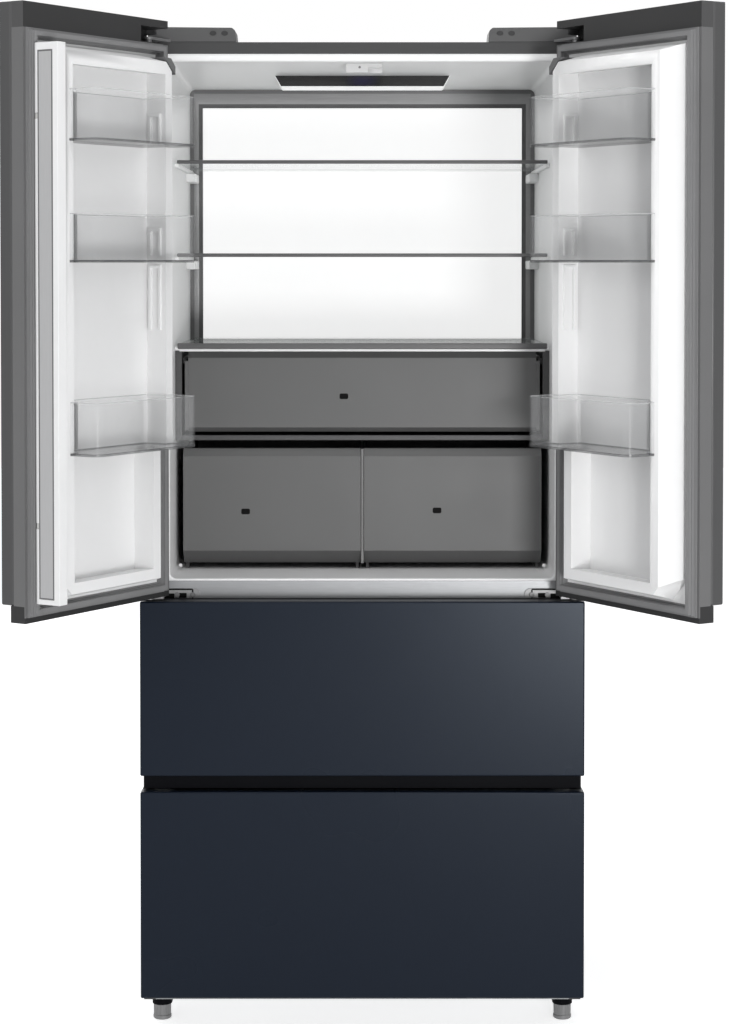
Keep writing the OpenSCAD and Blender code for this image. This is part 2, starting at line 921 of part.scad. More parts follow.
// A seal ring on the back of a door or drawer front: a wide foot and a narrower bellows.
module seal_ring(x0, x1, z0, z1) {
    for (step = [[0, 0, seal_foot], [seal_step, seal_foot, seal_t - slide_c]]) {
        inset = step[0];
        w = seal_w;
        difference() {
            box(x0 + inset, x1 - inset, door_t + step[1], door_t + step[2], z0 + inset, z1 - inset);
            box(x0 + w - inset, x1 - w + inset, door_t - 1, door_t + seal_t + 1, z0 + w - inset, z1 - w + inset);
        }
    }
}

dike_lean = 15;
dike_free = 29.5;
dike_side = hinge_x - dike_free;
dike_gap = 4;
dike_top = seal_top - seal_w - dike_gap;
dike_low = seal_bottom + seal_w + dike_gap;
dike_hinge = 36;
dike_crest = 45;
dike_wall = 22;
low_dike_z = 1108;
low_dike_in = 25;
corner_cut = 31;

// Outline of the raised border across the door. Its edge by the hinge is cut back by the given amount.
module dike_plan(z0, z1, cut_in, cut_y) {
    x1 = dike_crest + cut_in - hinge_x;
    x3 = dike_side - hinge_x;
    profile_z(z0, z1, [
        [dike_hinge - hinge_x, door_t], [x1, dike_y - cut_y], [x1 + cut_y, dike_y], [x3 - dike_lean, dike_y],
        [x3, door_t]
    ]);
}

// The space inside the border.
module dike_recess(z0, z1, cut_in) {
    x0 = dike_crest + dike_wall + cut_in - hinge_x;
    x1 = dike_side - dike_lean - dike_wall - hinge_x;
    profile_z(z0, z1, [[x0 - 4, panel_y], [x0, dike_y + 1], [x1, dike_y + 1], [x1 + 4, panel_y]]);
}

module door_liner() {
    t = liner_t;
    box(-half_w, -leaf_in, door_t - t, door_t, seal_bottom, cap_bottom);
    box(-half_w, t - half_w, skin_return, door_t - t, skin_bottom, cap_bottom);
    box(-leaf_in - t, -leaf_in, skin_return, door_t - t, skin_bottom, cap_bottom);
    difference() {
        intersection() {
            union() {
                dike_plan(low_dike_z, dike_top, 0, 3);
                dike_plan(dike_low, low_dike_z, low_dike_in, 15);
            }
            profile_x(-hinge_x, 0, [
                [door_t, dike_low], [dike_y, dike_low + dike_lean],
                [dike_y, dike_top - dike_lean], [door_t, dike_top]
            ]);
        }
        intersection() {
            union() {
                dike_recess(low_dike_z, dike_top, 0);
                dike_recess(dike_low, low_dike_z, low_dike_in + dike_lean);
            }
            profile_x(-hinge_x, 0, [
                [panel_y, dike_low + 30], [dike_y + 1, dike_low + 34],
                [dike_y + 1, dike_top - 38], [panel_y, dike_top - 34]
            ]);
        }
        // Slanted corners: at the top by the hinge, and at the bottom by the free side
        for (corner = [[dike_hinge, dike_top], [dike_side, dike_low]]) {
            translate([corner[0] - hinge_x, 0, corner[1]]) rotate([0, 45, 0])
                box(-corner_cut, corner_cut, door_t, dike_y + 1, -2 * corner_cut, 2 * corner_cut);
        }
    }
}

bin_out = dike_y + bin_reach;
bin_x0 = 50;
bin_x1 = dike_side - 25;
bin_r = 20;

// Outline of a door shelf: a narrow back between the borders, and a wide front with round corners.
module bin_plan(inset) {
    x0 = bin_x0 - hinge_x + inset;
    x1 = bin_x1 - hinge_x - inset;
    y0 = dike_y + slide_c + inset;
    y1 = bin_out - inset;
    r = bin_r - inset;
    back_x0 = dike_crest + dike_wall + dike_gap - hinge_x + inset;
    back_x1 = dike_side - dike_lean - dike_wall - dike_gap - hinge_x - inset;
    back_y0 = panel_y + slide_c + inset;
    translate([x0, y0]) square([x1 - x0, y1 - r - y0]);
    translate([x0 + r, y0]) square([x1 - x0 - 2 * r, y1 - y0]);
    for (x = [x0 + r, x1 - r]) translate([x, y1 - r]) circle(r);
    translate([back_x0, back_y0]) square([back_x1 - back_x0, y0 - back_y0 + bin_t]);
}

module door_bins() {
    for (i = [0 : len(bin_z) - 1]) if (bin_z[i] + bin_h[i] < dike_top) {
        difference() {
            translate([0, 0, bin_z[i]]) linear_extrude(bin_h[i]) bin_plan(0);
            translate([0, 0, bin_z[i] + bin_t]) linear_extrude(bin_h[i]) bin_plan(bin_t);
        }
    }
}

module left_skin() {
    color("midnightblue") left_leaf() door_skin();
}

module left_foam() {
    color("khaki") left_leaf() door_foam();
}

module left_liner() {
    color("white") left_leaf() door_liner();
}

module left_caps() {
    color("dimgray") left_leaf() door_caps();
}

module left_gasket() {
    color("silver") left_leaf() seal_ring(seal_in - hinge_x, -seal_free, seal_bottom, seal_top);
}

module left_bins() {
    color("aliceblue") left_leaf() door_bins();
}

module right_skin() {
    color("midnightblue") right_leaf() door_skin();
}

module right_foam() {
    color("khaki") right_leaf() door_foam();
}

module right_liner() {
    color("white") right_leaf() door_liner();
}

module right_caps() {
    color("dimgray") right_leaf() door_caps();
}

module right_gasket() {
    color("silver") right_leaf() seal_ring(seal_in - hinge_x, -seal_free, seal_bottom, seal_top);
}

module right_bins() {
    color("aliceblue") right_leaf() door_bins();
}

// ---- Folding mullion, drawn unfolded and then folded against the left door ----

function dike_face(y) = dike_side - hinge_x - dike_lean * (y - door_t) / dike_h;

module mullion_hinges() {
    y0 = mull_y - lug_w;
    y1 = mull_y + lug_w;
    color("silver") left_leaf() for (z = mull_lugs) {
        profile_z(z + slide_c, z + lug_h - slide_c, [
            [dike_face(y0), y0], [mull_x + 6, y0], [mull_x + 6, y1], [dike_face(y1), y1]
        ]);
        bar_z(mull_x, mull_y, z - lug_pin, z + lug_h + lug_pin, mull_pin_r);
    }
}

module mullion_plan() {
    y1 = case_y + mull_t;
    translate([mull_x, case_y]) square([mull_w / 2 - mull_x, mull_t]);
    translate([mull_x - mull_r, mull_y]) square([mull_r + 1, y1 - mull_y]);
    translate([mull_x, mull_y]) circle(mull_r);
}

insert_w = 26;
insert_t = 1.5;
insert_z0 = mull_z + 9;
insert_z1 = mull_top - 13;
lug_pin = 10;
lug_w = 7;

module mullion_bar() {
    color("white") left_leaf() folded() difference() {
        translate([0, 0, mull_z]) linear_extrude(mull_top - mull_z) mullion_plan();
        for (z = mull_lugs) {
            box(mull_x - mull_r - 1, mull_x + 12, case_y - 1, case_y + mull_t + 1, z, z + lug_h);
            bar_z(mull_x, mull_y, z - lug_pin - 2, z + lug_h + lug_pin + 2, mull_pin_r + bore_c);
        }
        box(-insert_w / 2, insert_w / 2, case_y - 1, case_y + insert_t, insert_z0, insert_z1);
    }
}

module mullion_insert() {
    color("gray") left_leaf() folded()
        box(-insert_w / 2, insert_w / 2, case_y, case_y + insert_t, insert_z0, insert_z1);
}

// ---- Drawers ----

module drawer_skin(z0, z1) {
    t = sheet_t;
    difference() {
        box(-half_w, half_w, 0, skin_return, z0, z1);
        box(t - half_w, half_w - t, t, skin_return + 1, z0 + t, z1 - t);
    }
}

module drawer_core(z0, z1) {
    w = half_w - sheet_t;
    box(-w, w, sheet_t, door_t, z0 + sheet_t, z1 - sheet_t);
}

module drawer_basket(z0, z1, y1) {
    y0 = basket_y;
    difference() {
        box(-basket_w, basket_w, y0, y1, z0, z1);
        box(bin_t - basket_w, basket_w - bin_t, y0 + bin_t, y1 - bin_t, z0 + bin_t, z1 + 1);
    }
}

// Rails on a drawer: they are screwed to its front and the basket hangs between them.
module drawer_rails(z) {
    both() {
        box(move_x, move_x + move_w, door_t, rail_back - 4, z, z + rail_h);
        box(basket_w, move_x, case_y + 40, step_y - 30, z + rail_h - hanger_h, z + rail_h);
    }
}

module drawer_slides(z) {
    both() box(mid_x, mid_x + slide_w, case_y + 6, rail_back - 4, z + 2, z + rail_h - 2);
}

seal_x = inner_w + 8 + seal_w;
lip_side = 6;
basket_y = case_y + 12;
basket_gap = 8;
basket_h = 210;
upper_basket_z = mid_bar_z + mid_bar_h + basket_gap;
hanger_h = 6;

module upper_front() {
    color("midnightblue") cab() drawer_skin(upper_skin, upper_top);
}

module upper_core() {
    color("dimgray") cab() {
        drawer_core(upper_skin, upper_top);
        box(lip_side - half_w, half_w - lip_side, skin_return, door_t, upper_lip, upper_skin + sheet_t);
        box(lip_side - half_w, half_w - lip_side, grip_d, skin_return, upper_lip, upper_skin);
    }
}

module upper_gasket() {
    color("silver") cab() seal_ring(-seal_x, seal_x, mid_bar_z + mid_bar_h - seal_w - 2, lower_plate_z - 12);
}

module upper_basket() {
    color("white") cab() drawer_basket(upper_basket_z, upper_basket_z + basket_h, cover_plate_y - 16);
}

module upper_rails() {
    color("silver") cab() drawer_rails(upper_rail_z);
}

module upper_slides() {
    color("silver") cab() drawer_slides(upper_rail_z);
}

module lower_front() {
    color("midnightblue") cab() drawer_skin(lower_z, lower_z + lower_h);
}

module lower_core() {
    color("dimgray") cab() drawer_core(lower_z, lower_z + lower_h);
}

module lower_gasket() {
    color("silver") cab() seal_ring(-seal_x, seal_x, freezer_floor - seal_w - 4, mid_bar_z + seal_w - 6);
}

module lower_basket() {
    color("white") cab() drawer_basket(freezer_floor + basket_gap, mid_bar_z - 16, step_y - 12);
}

module lower_rails() {
    color("silver") cab() drawer_rails(lower_rail_z);
}

module lower_slides() {
    color("silver") cab() drawer_slides(lower_rail_z);
}

case_wrap();
rear_panel();
cabinet_foam();
fridge_liner();
freezer_liner();
crossbars();
duct_panel();
duct_frame();
ceiling_console();
display_glass();
glass_shelves();
shelf_trims();
crisper_cover();
crisper_frame();
mullion_guide();
hinge_brackets();
hinge_covers();
hinge_screws();
freezer_rails();
evaporator_cover();
fan_rotor();
base_pan();
foot_housings();
compressor();
machine_cover();
cord_gland();
left_foot();
right_foot();
left_roller();
right_roller();
left_skin();
left_foam();
left_liner();
left_caps();
left_gasket();
left_bins();
mullion_hinges();
mullion_bar();
mullion_insert();
right_skin();
right_foam();
right_liner();
right_caps();
right_gasket();
right_bins();
upper_front();
upper_core();
upper_gasket();
upper_basket();
upper_rails();
upper_slides();
lower_front();
lower_core();
lower_gasket();
lower_basket();
lower_rails();
lower_slides();
wide_crisper();
left_crisper();
right_crisper();
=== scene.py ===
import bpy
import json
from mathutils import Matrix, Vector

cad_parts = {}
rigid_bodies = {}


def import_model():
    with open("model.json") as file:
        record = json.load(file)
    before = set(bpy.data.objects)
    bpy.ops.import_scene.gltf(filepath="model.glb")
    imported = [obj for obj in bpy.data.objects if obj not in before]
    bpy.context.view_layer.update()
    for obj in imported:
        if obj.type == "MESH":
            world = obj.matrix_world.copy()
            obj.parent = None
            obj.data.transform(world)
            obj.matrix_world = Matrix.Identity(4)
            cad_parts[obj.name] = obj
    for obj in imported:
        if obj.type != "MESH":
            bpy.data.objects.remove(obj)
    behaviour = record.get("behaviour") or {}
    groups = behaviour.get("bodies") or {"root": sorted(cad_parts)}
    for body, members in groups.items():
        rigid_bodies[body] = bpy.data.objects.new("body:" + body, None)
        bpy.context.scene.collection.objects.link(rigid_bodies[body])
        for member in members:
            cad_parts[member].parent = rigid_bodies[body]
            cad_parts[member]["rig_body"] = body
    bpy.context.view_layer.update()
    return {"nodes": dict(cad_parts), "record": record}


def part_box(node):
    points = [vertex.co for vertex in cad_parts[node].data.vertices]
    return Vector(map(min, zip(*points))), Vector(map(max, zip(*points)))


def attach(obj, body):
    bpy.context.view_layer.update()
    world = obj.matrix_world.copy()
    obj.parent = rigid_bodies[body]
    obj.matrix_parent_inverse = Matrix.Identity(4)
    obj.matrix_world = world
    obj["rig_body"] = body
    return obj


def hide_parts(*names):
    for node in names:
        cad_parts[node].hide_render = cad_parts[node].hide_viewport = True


bl_info = {
    "name": "French Door Refrigerator",
    "version": (1, 0, 0),
    "blender": (4, 5, 0),
    "location": "3D View > Sidebar > Refrigerator",
    "description": "Dresses a packed refrigerator with its fronts, liners, seals, shelves and drawers",
    "category": "Object",
}

import json
import math

import bmesh
import bpy
from mathutils import Matrix, Vector

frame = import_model()

# Places and lengths in capitals are in millimetres, with Y from the face of the closed fronts
# and Z from the floor, except in the groups that say metres. Radii are in metres throughout.
MM = 0.001
FRONT_LOW, FRONT_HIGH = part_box("upper_front")
FACE_Y = FRONT_LOW.y
HALF_W = FRONT_HIGH.x / MM

# Case and fresh food compartment
CASE_Y = (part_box("case_wrap")[0].y - FACE_Y) / MM
CASE_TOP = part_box("case_wrap")[1].z / MM
LINER_LOW, LINER_HIGH = (-365.0, CASE_Y, 850.0), (365.0, 622.0, 1829.0)

# Ledges along the side walls, and the shorter rests under them at the back: root and tip in X,
# run in Y, tops and thickness
LEDGE_ROOT = 365.5
LEDGE_TIP, LEDGE_Y, LEDGE_TOPS, LEDGE_T, LEDGE_GAP = 357, (202, 606), (1462, 1643, 1286), 8, 0.1
REST_TIP, REST_Y, REST_TOPS, REST_T = 346, (492, 606), (1454, 1635), 18

# In metres: fall of the ceiling to the back, overlap of the liner's lip, sheets, the band of the
# front bars between the drawers that is painted black as shade, the foot of the rear panel's painted
# glow, the duct's border and the display
CEILING_FALL = 0.0135
LIP_SIDE, LIP_TOP, LIP_FOOT = 0.0293, 0.0148, -0.0038
LINER_SHEET, FRONT_SHEET = 0.0015, 0.001
SHADED_BAR_BAND = (0.3, 0.6)
PANEL_FOOT = 1.288
DUCT_BORDER, DUCT_LIP, DUCT_SHADE_EDGE = 0.0085, 0.0015, 0.009
DISPLAY_Z, DISPLAY_FADE = 1.812, (28.0, 0.0, 60.0)

# Doors, in the place that they have when closed, with the left leaf at negative X. The hinge is
# a point in metres.
HINGE = Vector((-0.3995, FACE_Y + 0.022, 0))
OPEN_DEG = 122.0
DOOR_T = 54.5
DOOR_TOP = 1900.0
SKIN_BOTTOM = 854.5
LEAF_IN = 2.5
HEM = 29
ARM_SLOT = (1862.0, 1876.0)
ARM_SLOT_Y, TOP_HEM_Y, FOOT_HEM_Y = 5.5, 3.5, 22.0
# Outside this rectangle the door liner's white sides and rim are painted grey as shade
SHADE_EDGE_X, SHADE_EDGE_Z = (-388.0, -18.0), (845.0, 1845.0)
# A grey wedge at the top corner of each door: painted shade between the door and the case
SHADE_WEDGE = [(-362, 69.9, 1809), (-349, 69.9, 1823.5), (-328, 69.9, 1824.5), (-362, 69.9, 1794)]
SHADE_WEDGE_DEPTH = 43.2
HOOK_X, HOOK_W = -337, 7.5
HOOK_Y, HOOK_Z = (73, 79, 95, 101), ((1326, 1446), (1463, 1513), (1667, 1722))
SHELF_ROWS = [(1115.0, 93.0), (1450.0, 85.0), (1660.0, 90.0)]
SHELF_BASE = 4.4

# Mullion: stretch of the insert to its plate, and the middle of the guide's screw
INSERT_STRETCH, GUIDE_SCREW = (33 / 26, 1.24, 1), (-5, 96.2, 1821)

# Seals: each fold is a rise and an inset of the ring's face
SEAL_X, SEAL_Z, SEAL_W = (-398.5, -8.5), (835, 1855), 20
SEAL_FOLDS = [(2.5, 2.0), (1.5, 1.5), (3.0, -1.5), (2.4, 1.5), (2.4, -1.0), (2.4, 0.8), (1.0, 0.0)]

# Small blocks, each from its low to its high X, Y and Z
CONSOLE_LENS = (-150, 150, 336, 404, 1801.1, 1802.2)
COVER_GLASS = (-360, 360, 202, 602, 1286, 1291)
COVER_TRIM = (-360, 360, 194, 202, 1282, 1293)
COVER_STRIP = (-357, 357, 199.5, 205.5, 1276.8, 1281.9)
CRISPER_DIVIDER = (-2.6, 2.6, 204, 214, 862, 1086)
CRISPER_FINS = ((-347, -339.5, 206.8, 209, 1122, 1258), (339.5, 347, 206.8, 209, 1122, 1258))
CRISPER_MARKS = {
    "wide_crisper": (-36.0, 205.8, 1189.0),
    "left_crisper": (-228.0, 199.8, 964.0),
    "right_crisper": (146.0, 199.8, 966.0),
}
MARK_HALF_W, MARK_HALF_H, MARK_T = 8.5, 5.5, 1.5
STUD_X, STUD_Y, STUD_Z = 355.2, 199, 858.5

# Black plates on the lower hinge brackets, painted shade in their slots and along the foot of the door:
# middle in X, width, low and high Z
BRACKET_SLOT_SHADES = (
    (364.0, 84.0, 828.6, 831.2),
    (341.0, 15.0, 814, 823),
    (369.0, 24.0, 811, 822),
    (322.0, 2.8, 811, 830),
)
SLOT_SHADE_Y = (66.2, 67.6)

# Covers of the upper hinges: outline in X and height over the roof, depth, and the plugs
HINGE_COVER, HINGE_COVER_DEPTH = [(238, 0), (405, 0), (405, 29), (246, 27.5), (240, 22)], 84
PLUG_X, PLUG_RISE = (260, 282), 17

# Feet, in metres
CUP_LOW = 0.029
SLEEVE_Z, SLEEVE_H = 0.0163, 0.0250

# Studio, in metres: name, place, side, watts and target of each lamp
LAMPS = (
    ("Right key softbox", (1.12, -4.4, 0.60), 0.70, 87.0, (0, 0, 1.1)),
    ("Right softbox", (3.1, -3.1, 2.9), 1.8, 10.0, (0, 0, 1.3)),
    ("Left softbox", (-3.1, -3.1, 2.9), 1.8, 20.0, (0, 0, 1.2)),
    ("Top softbox", (0.0, -1.9, 4.4), 2.0, 37.0, (0, 0, 1.0)),
    ("Rear softbox", (-2.2, 4.2, 2.6), 2.2, 60.0, (0, 0.4, 1.0)),
)
STUDIO_FLOOR_HALF = 12
FLOOR_LIFT, SOFT_LEVEL, SEEN_LEVEL = 0.66, 0.46, 1.0
CAMERA_LENS, CAMERA_SHIFT, CAMERA_TILT = 82.3, (0.00215, -0.18), -1.5795
CAMERA_PLACE = (0, FACE_Y - 4.3622, 1.4490)

LEFT = (
    Matrix.Translation(HINGE)
    @ Matrix.Rotation(-math.radians(OPEN_DEG), 4, "Z")
    @ Matrix.Translation(-HINGE)
)
RIGHT = Matrix.Scale(-1, 4, (1, 0, 0)) @ LEFT
SIDES = (("left", LEFT), ("right", RIGHT))
TO_FRONT = Matrix.Rotation(math.pi / 2, 4, "X")


# ---- Sizes and colours that a user would change ----


def radius_setting(name, description, default, least, most):
    """A radius of the dressed pieces, in metres."""
    return bpy.props.FloatProperty(
        name=name, description=description, default=default, min=least, max=most, unit="LENGTH"
    )


def colour_setting(name, description, default):
    """A base colour, in linear values."""
    return bpy.props.FloatVectorProperty(
        name=name, description=description, default=default, subtype="COLOR", min=0, max=1
    )


class FridgeSizes(bpy.types.PropertyGroup):
    """Radii that the dressed pieces take, and the glow of the lamp."""

    fold_radius: radius_setting(
        "Fold radius", "Radius of the folded edges of the steel fronts", 0.0032, 0.001, 0.006
    )
    liner_radius: radius_setting(
        "Liner radius", "Radius of the moulded corners inside the fresh food compartment", 0.012, 0.004, 0.012
    )
    border_radius: radius_setting(
        "Door border radius", "Radius of the raised border of the door liners", 0.006, 0.001, 0.008
    )
    edge_radius: radius_setting(
        "Moulded edge radius", "Radius of the edges of the door caps", 0.0012, 0.0003, 0.0015
    )
    lamp_glow: bpy.props.FloatProperty(
        name="Console glow",
        description="Strength of the lamp lens in the ceiling console",
        default=2.0,
        min=0.0,
        max=10.0,
    )


class FridgeColours(bpy.types.PropertyGroup):
    """Base colours of the finishes, in linear values."""

    front: colour_setting("Fronts", "Satin dark blue steel of the doors and drawers", (0.0030, 0.0058, 0.0126))
    case: colour_setting("Case", "Painted steel of the case", (0.040, 0.0402, 0.041))
    liner: colour_setting("Liners", "White moulded liners", (0.86, 0.86, 0.86))
    frame_metal: colour_setting("Duct frame", "Brushed grey frame round the rear panel", (0.24, 0.24, 0.242))
    crisper: colour_setting("Crispers", "Smoked grey crispers", (0.086, 0.086, 0.086))
    cap: colour_setting("Caps", "Dark grey plastic of the door caps", (0.018, 0.018, 0.0185))
    seal: colour_setting("Seals", "Grey rubber of the seals", (0.195, 0.195, 0.197))


def sizes():
    """The sizes that the scene holds."""
    return bpy.context.scene.fridge_sizes


def colours():
    """The colours that the scene holds."""
    return bpy.context.scene.fridge_colours


# ---- Finishes ----

FINISHES = {}

# Which way the brushing of a sheet runs: small along its lines
UPRIGHT, LEVEL, EVEN = (1, 1, 0.012), (0.012, 1, 1), (1, 1, 1)


def blank(name):
    """A material with one shader and nothing else."""
    material = bpy.data.materials.new(name)
    material.use_nodes = True
    tree = material.node_tree
    tree.nodes.clear()
    out = tree.nodes.new("ShaderNodeOutputMaterial")
    shader = tree.nodes.new("ShaderNodeBsdfPrincipled")
    tree.links.new(shader.outputs["BSDF"], out.inputs["Surface"])
    return material, tree, shader


def grain(tree, scale, detail, stretch=(1, 1, 1)):
    """Noise on the piece's own coordinates, drawn out along an axis where stretch is small."""
    coords = tree.nodes.new("ShaderNodeTexCoord")
    mapping = tree.nodes.new("ShaderNodeMapping")
    mapping.inputs["Scale"].default_value = stretch
    noise = tree.nodes.new("ShaderNodeTexNoise")
    noise.inputs["Scale"].default_value = scale
    noise.inputs["Detail"].default_value = detail
    tree.links.new(coords.outputs["Object"], mapping.inputs["Vector"])
    tree.links.new(mapping.outputs["Vector"], noise.inputs["Vector"])
    return noise.outputs["Fac"]


def spangle(tree, scale):
    """Crystal pattern of galvanised sheet."""
    coords = tree.nodes.new("ShaderNodeTexCoord")
    cells = tree.nodes.new("ShaderNodeTexVoronoi")
    cells.inputs["Scale"].default_value = scale
    tree.links.new(coords.outputs["Object"], cells.inputs["Vector"])
    split = tree.nodes.new("ShaderNodeSeparateColor")
    tree.links.new(cells.outputs["Color"], split.inputs["Color"])
    return split.outputs["Red"]


def tint(tree, shader, factor, dark, light, low=0.3, high=0.7):
    """Base colour between two shades of one colour."""
    ramp = tree.nodes.new("ShaderNodeValToRGB")
    ramp.color_ramp.elements[0].position = low
    ramp.color_ramp.elements[1].position = high
    ramp.color_ramp.elements[0].color = (*dark, 1)
    ramp.color_ramp.elements[1].color = (*light, 1)
    tree.links.new(factor, ramp.inputs["Fac"])
    tree.links.new(ramp.outputs["Color"], shader.inputs["Base Color"])


def polish(tree, shader, factor, low, high):
    """Roughness between two values."""
    span = tree.nodes.new("ShaderNodeMapRange")
    span.inputs["From Min"].default_value = 0.3
    span.inputs["From Max"].default_value = 0.7
    span.inputs["To Min"].default_value = low
    span.inputs["To Max"].default_value = high
    tree.links.new(factor, span.inputs["Value"])
    tree.links.new(span.outputs["Result"], shader.inputs["Roughness"])


def relief(tree, shader, factor, strength):
    """A shallow bump."""
    bump = tree.nodes.new("ShaderNodeBump")
    bump.inputs["Strength"].default_value = strength
    bump.inputs["Distance"].default_value = 0.0001
    tree.links.new(factor, bump.inputs["Height"])
    tree.links.new(bump.outputs["Normal"], shader.inputs["Normal"])


def shade(base, factor):
    """A colour made darker or lighter."""
    return tuple(min(1.0, c * factor) for c in base)


def brushed(
    name, base, metallic, low, high, spread, ior=1.45, stretch=UPRIGHT, fine=2400.0, tinge=(1, 1, 1)
):
    """Steel or paint with fine brushing, between two levels of roughness."""
    material, tree, shader = blank(name)
    lines = grain(tree, fine, 4.0, stretch)
    broad = grain(tree, 3.0, 2.0)
    tint(tree, shader, lines, shade(base, 1 - spread), shade(base, 1 + spread))
    polish(tree, shader, broad, low, high)
    relief(tree, shader, lines, 0.06)
    shader.inputs["Metallic"].default_value = metallic
    shader.inputs["IOR"].default_value = ior
    shader.inputs["Specular Tint"].default_value = (*tinge, 1)
    return material


def moulded(name, base, low, high, scale=900.0, strength=0.08, spread=0.03, ior=1.46):
    """Moulded plastic with a fine grain, between two levels of roughness."""
    material, tree, shader = blank(name)
    fine = grain(tree, scale, 2.0)
    broad = grain(tree, 6.0, 2.0)
    tint(tree, shader, broad, shade(base, 1 - spread), shade(base, 1 + spread))
    polish(tree, shader, broad, low, high)
    relief(tree, shader, fine, strength)
    shader.inputs["IOR"].default_value = ior
    return material


def clear(name, base, rough, ior, alpha):
    """Glass or clear plastic, with a trace of waviness."""
    material, tree, shader = blank(name)
    waves = grain(tree, 14.0, 1.0)
    tint(tree, shader, waves, shade(base, 0.99), base)
    polish(tree, shader, waves, rough, rough + 0.02)
    shader.inputs["IOR"].default_value = ior
    shader.inputs["Alpha"].default_value = alpha
    return material


def galvanised(name, base, low, high):
    """Zinc-coated sheet with its crystals."""
    material, tree, shader = blank(name)
    cells = spangle(tree, 160.0)
    tint(tree, shader, cells, shade(base, 0.88), shade(base, 1.1), 0.0, 1.0)
    polish(tree, shader, cells, low, high)
    shader.inputs["Metallic"].default_value = 0.9
    return material


def glowing(name, base, strength):
    """Plastic that glows in its own colour: the lamp lens, and as painted glow the console around it."""
    material, tree, shader = blank(name)
    haze = grain(tree, 60.0, 1.0)
    tint(tree, shader, haze, shade(base, 0.96), base)
    shader.inputs["Roughness"].default_value = 0.3
    shader.inputs["Emission Color"].default_value = (*base, 1)
    shader.inputs["Emission Strength"].default_value = strength
    return material


def painted_glow(name, base, strength):
    """White plastic with painted glow: a low base colour under a strong, even glow, so that it shows white
    whatever shade falls on it.
    """
    material = moulded(name, base, 0.42, 0.5, 300.0, 0.02, 0.006)
    shader = material.node_tree.nodes["Principled BSDF"]
    shader.inputs["Emission Color"].default_value = (1, 1, 1, 1)
    shader.inputs["Emission Strength"].default_value = strength
    return material


def display_finish(name):
    """Black glass with a faint blue glow in its middle."""
    material, tree, shader = blank(name)
    haze = grain(tree, 8.0, 1.0)
    tint(tree, shader, haze, (0.0055, 0.0055, 0.006), (0.0065, 0.0065, 0.007))
    shader.inputs["Roughness"].default_value = 0.16
    coords = tree.nodes.new("ShaderNodeTexCoord")
    mapping = tree.nodes.new("ShaderNodeMapping")
    mapping.inputs["Location"].default_value = (0.0, 0.0, -DISPLAY_Z * DISPLAY_FADE[2])
    mapping.inputs["Scale"].default_value = DISPLAY_FADE
    ball = tree.nodes.new("ShaderNodeTexGradient")
    ball.gradient_type = "SPHERICAL"
    ramp = tree.nodes.new("ShaderNodeValToRGB")
    ramp.color_ramp.elements[0].color = (0, 0, 0, 1)
    ramp.color_ramp.elements[1].color = (0.14, 0.09, 1.0, 1)
    tree.links.new(coords.outputs["Object"], mapping.inputs["Vector"])
    tree.links.new(mapping.outputs["Vector"], ball.inputs["Vector"])
    tree.links.new(ball.outputs["Fac"], ramp.inputs["Fac"])
    tree.links.new(ramp.outputs["Color"], shader.inputs["Emission Color"])
    shader.inputs["Emission Strength"].default_value = 0.03
    return material


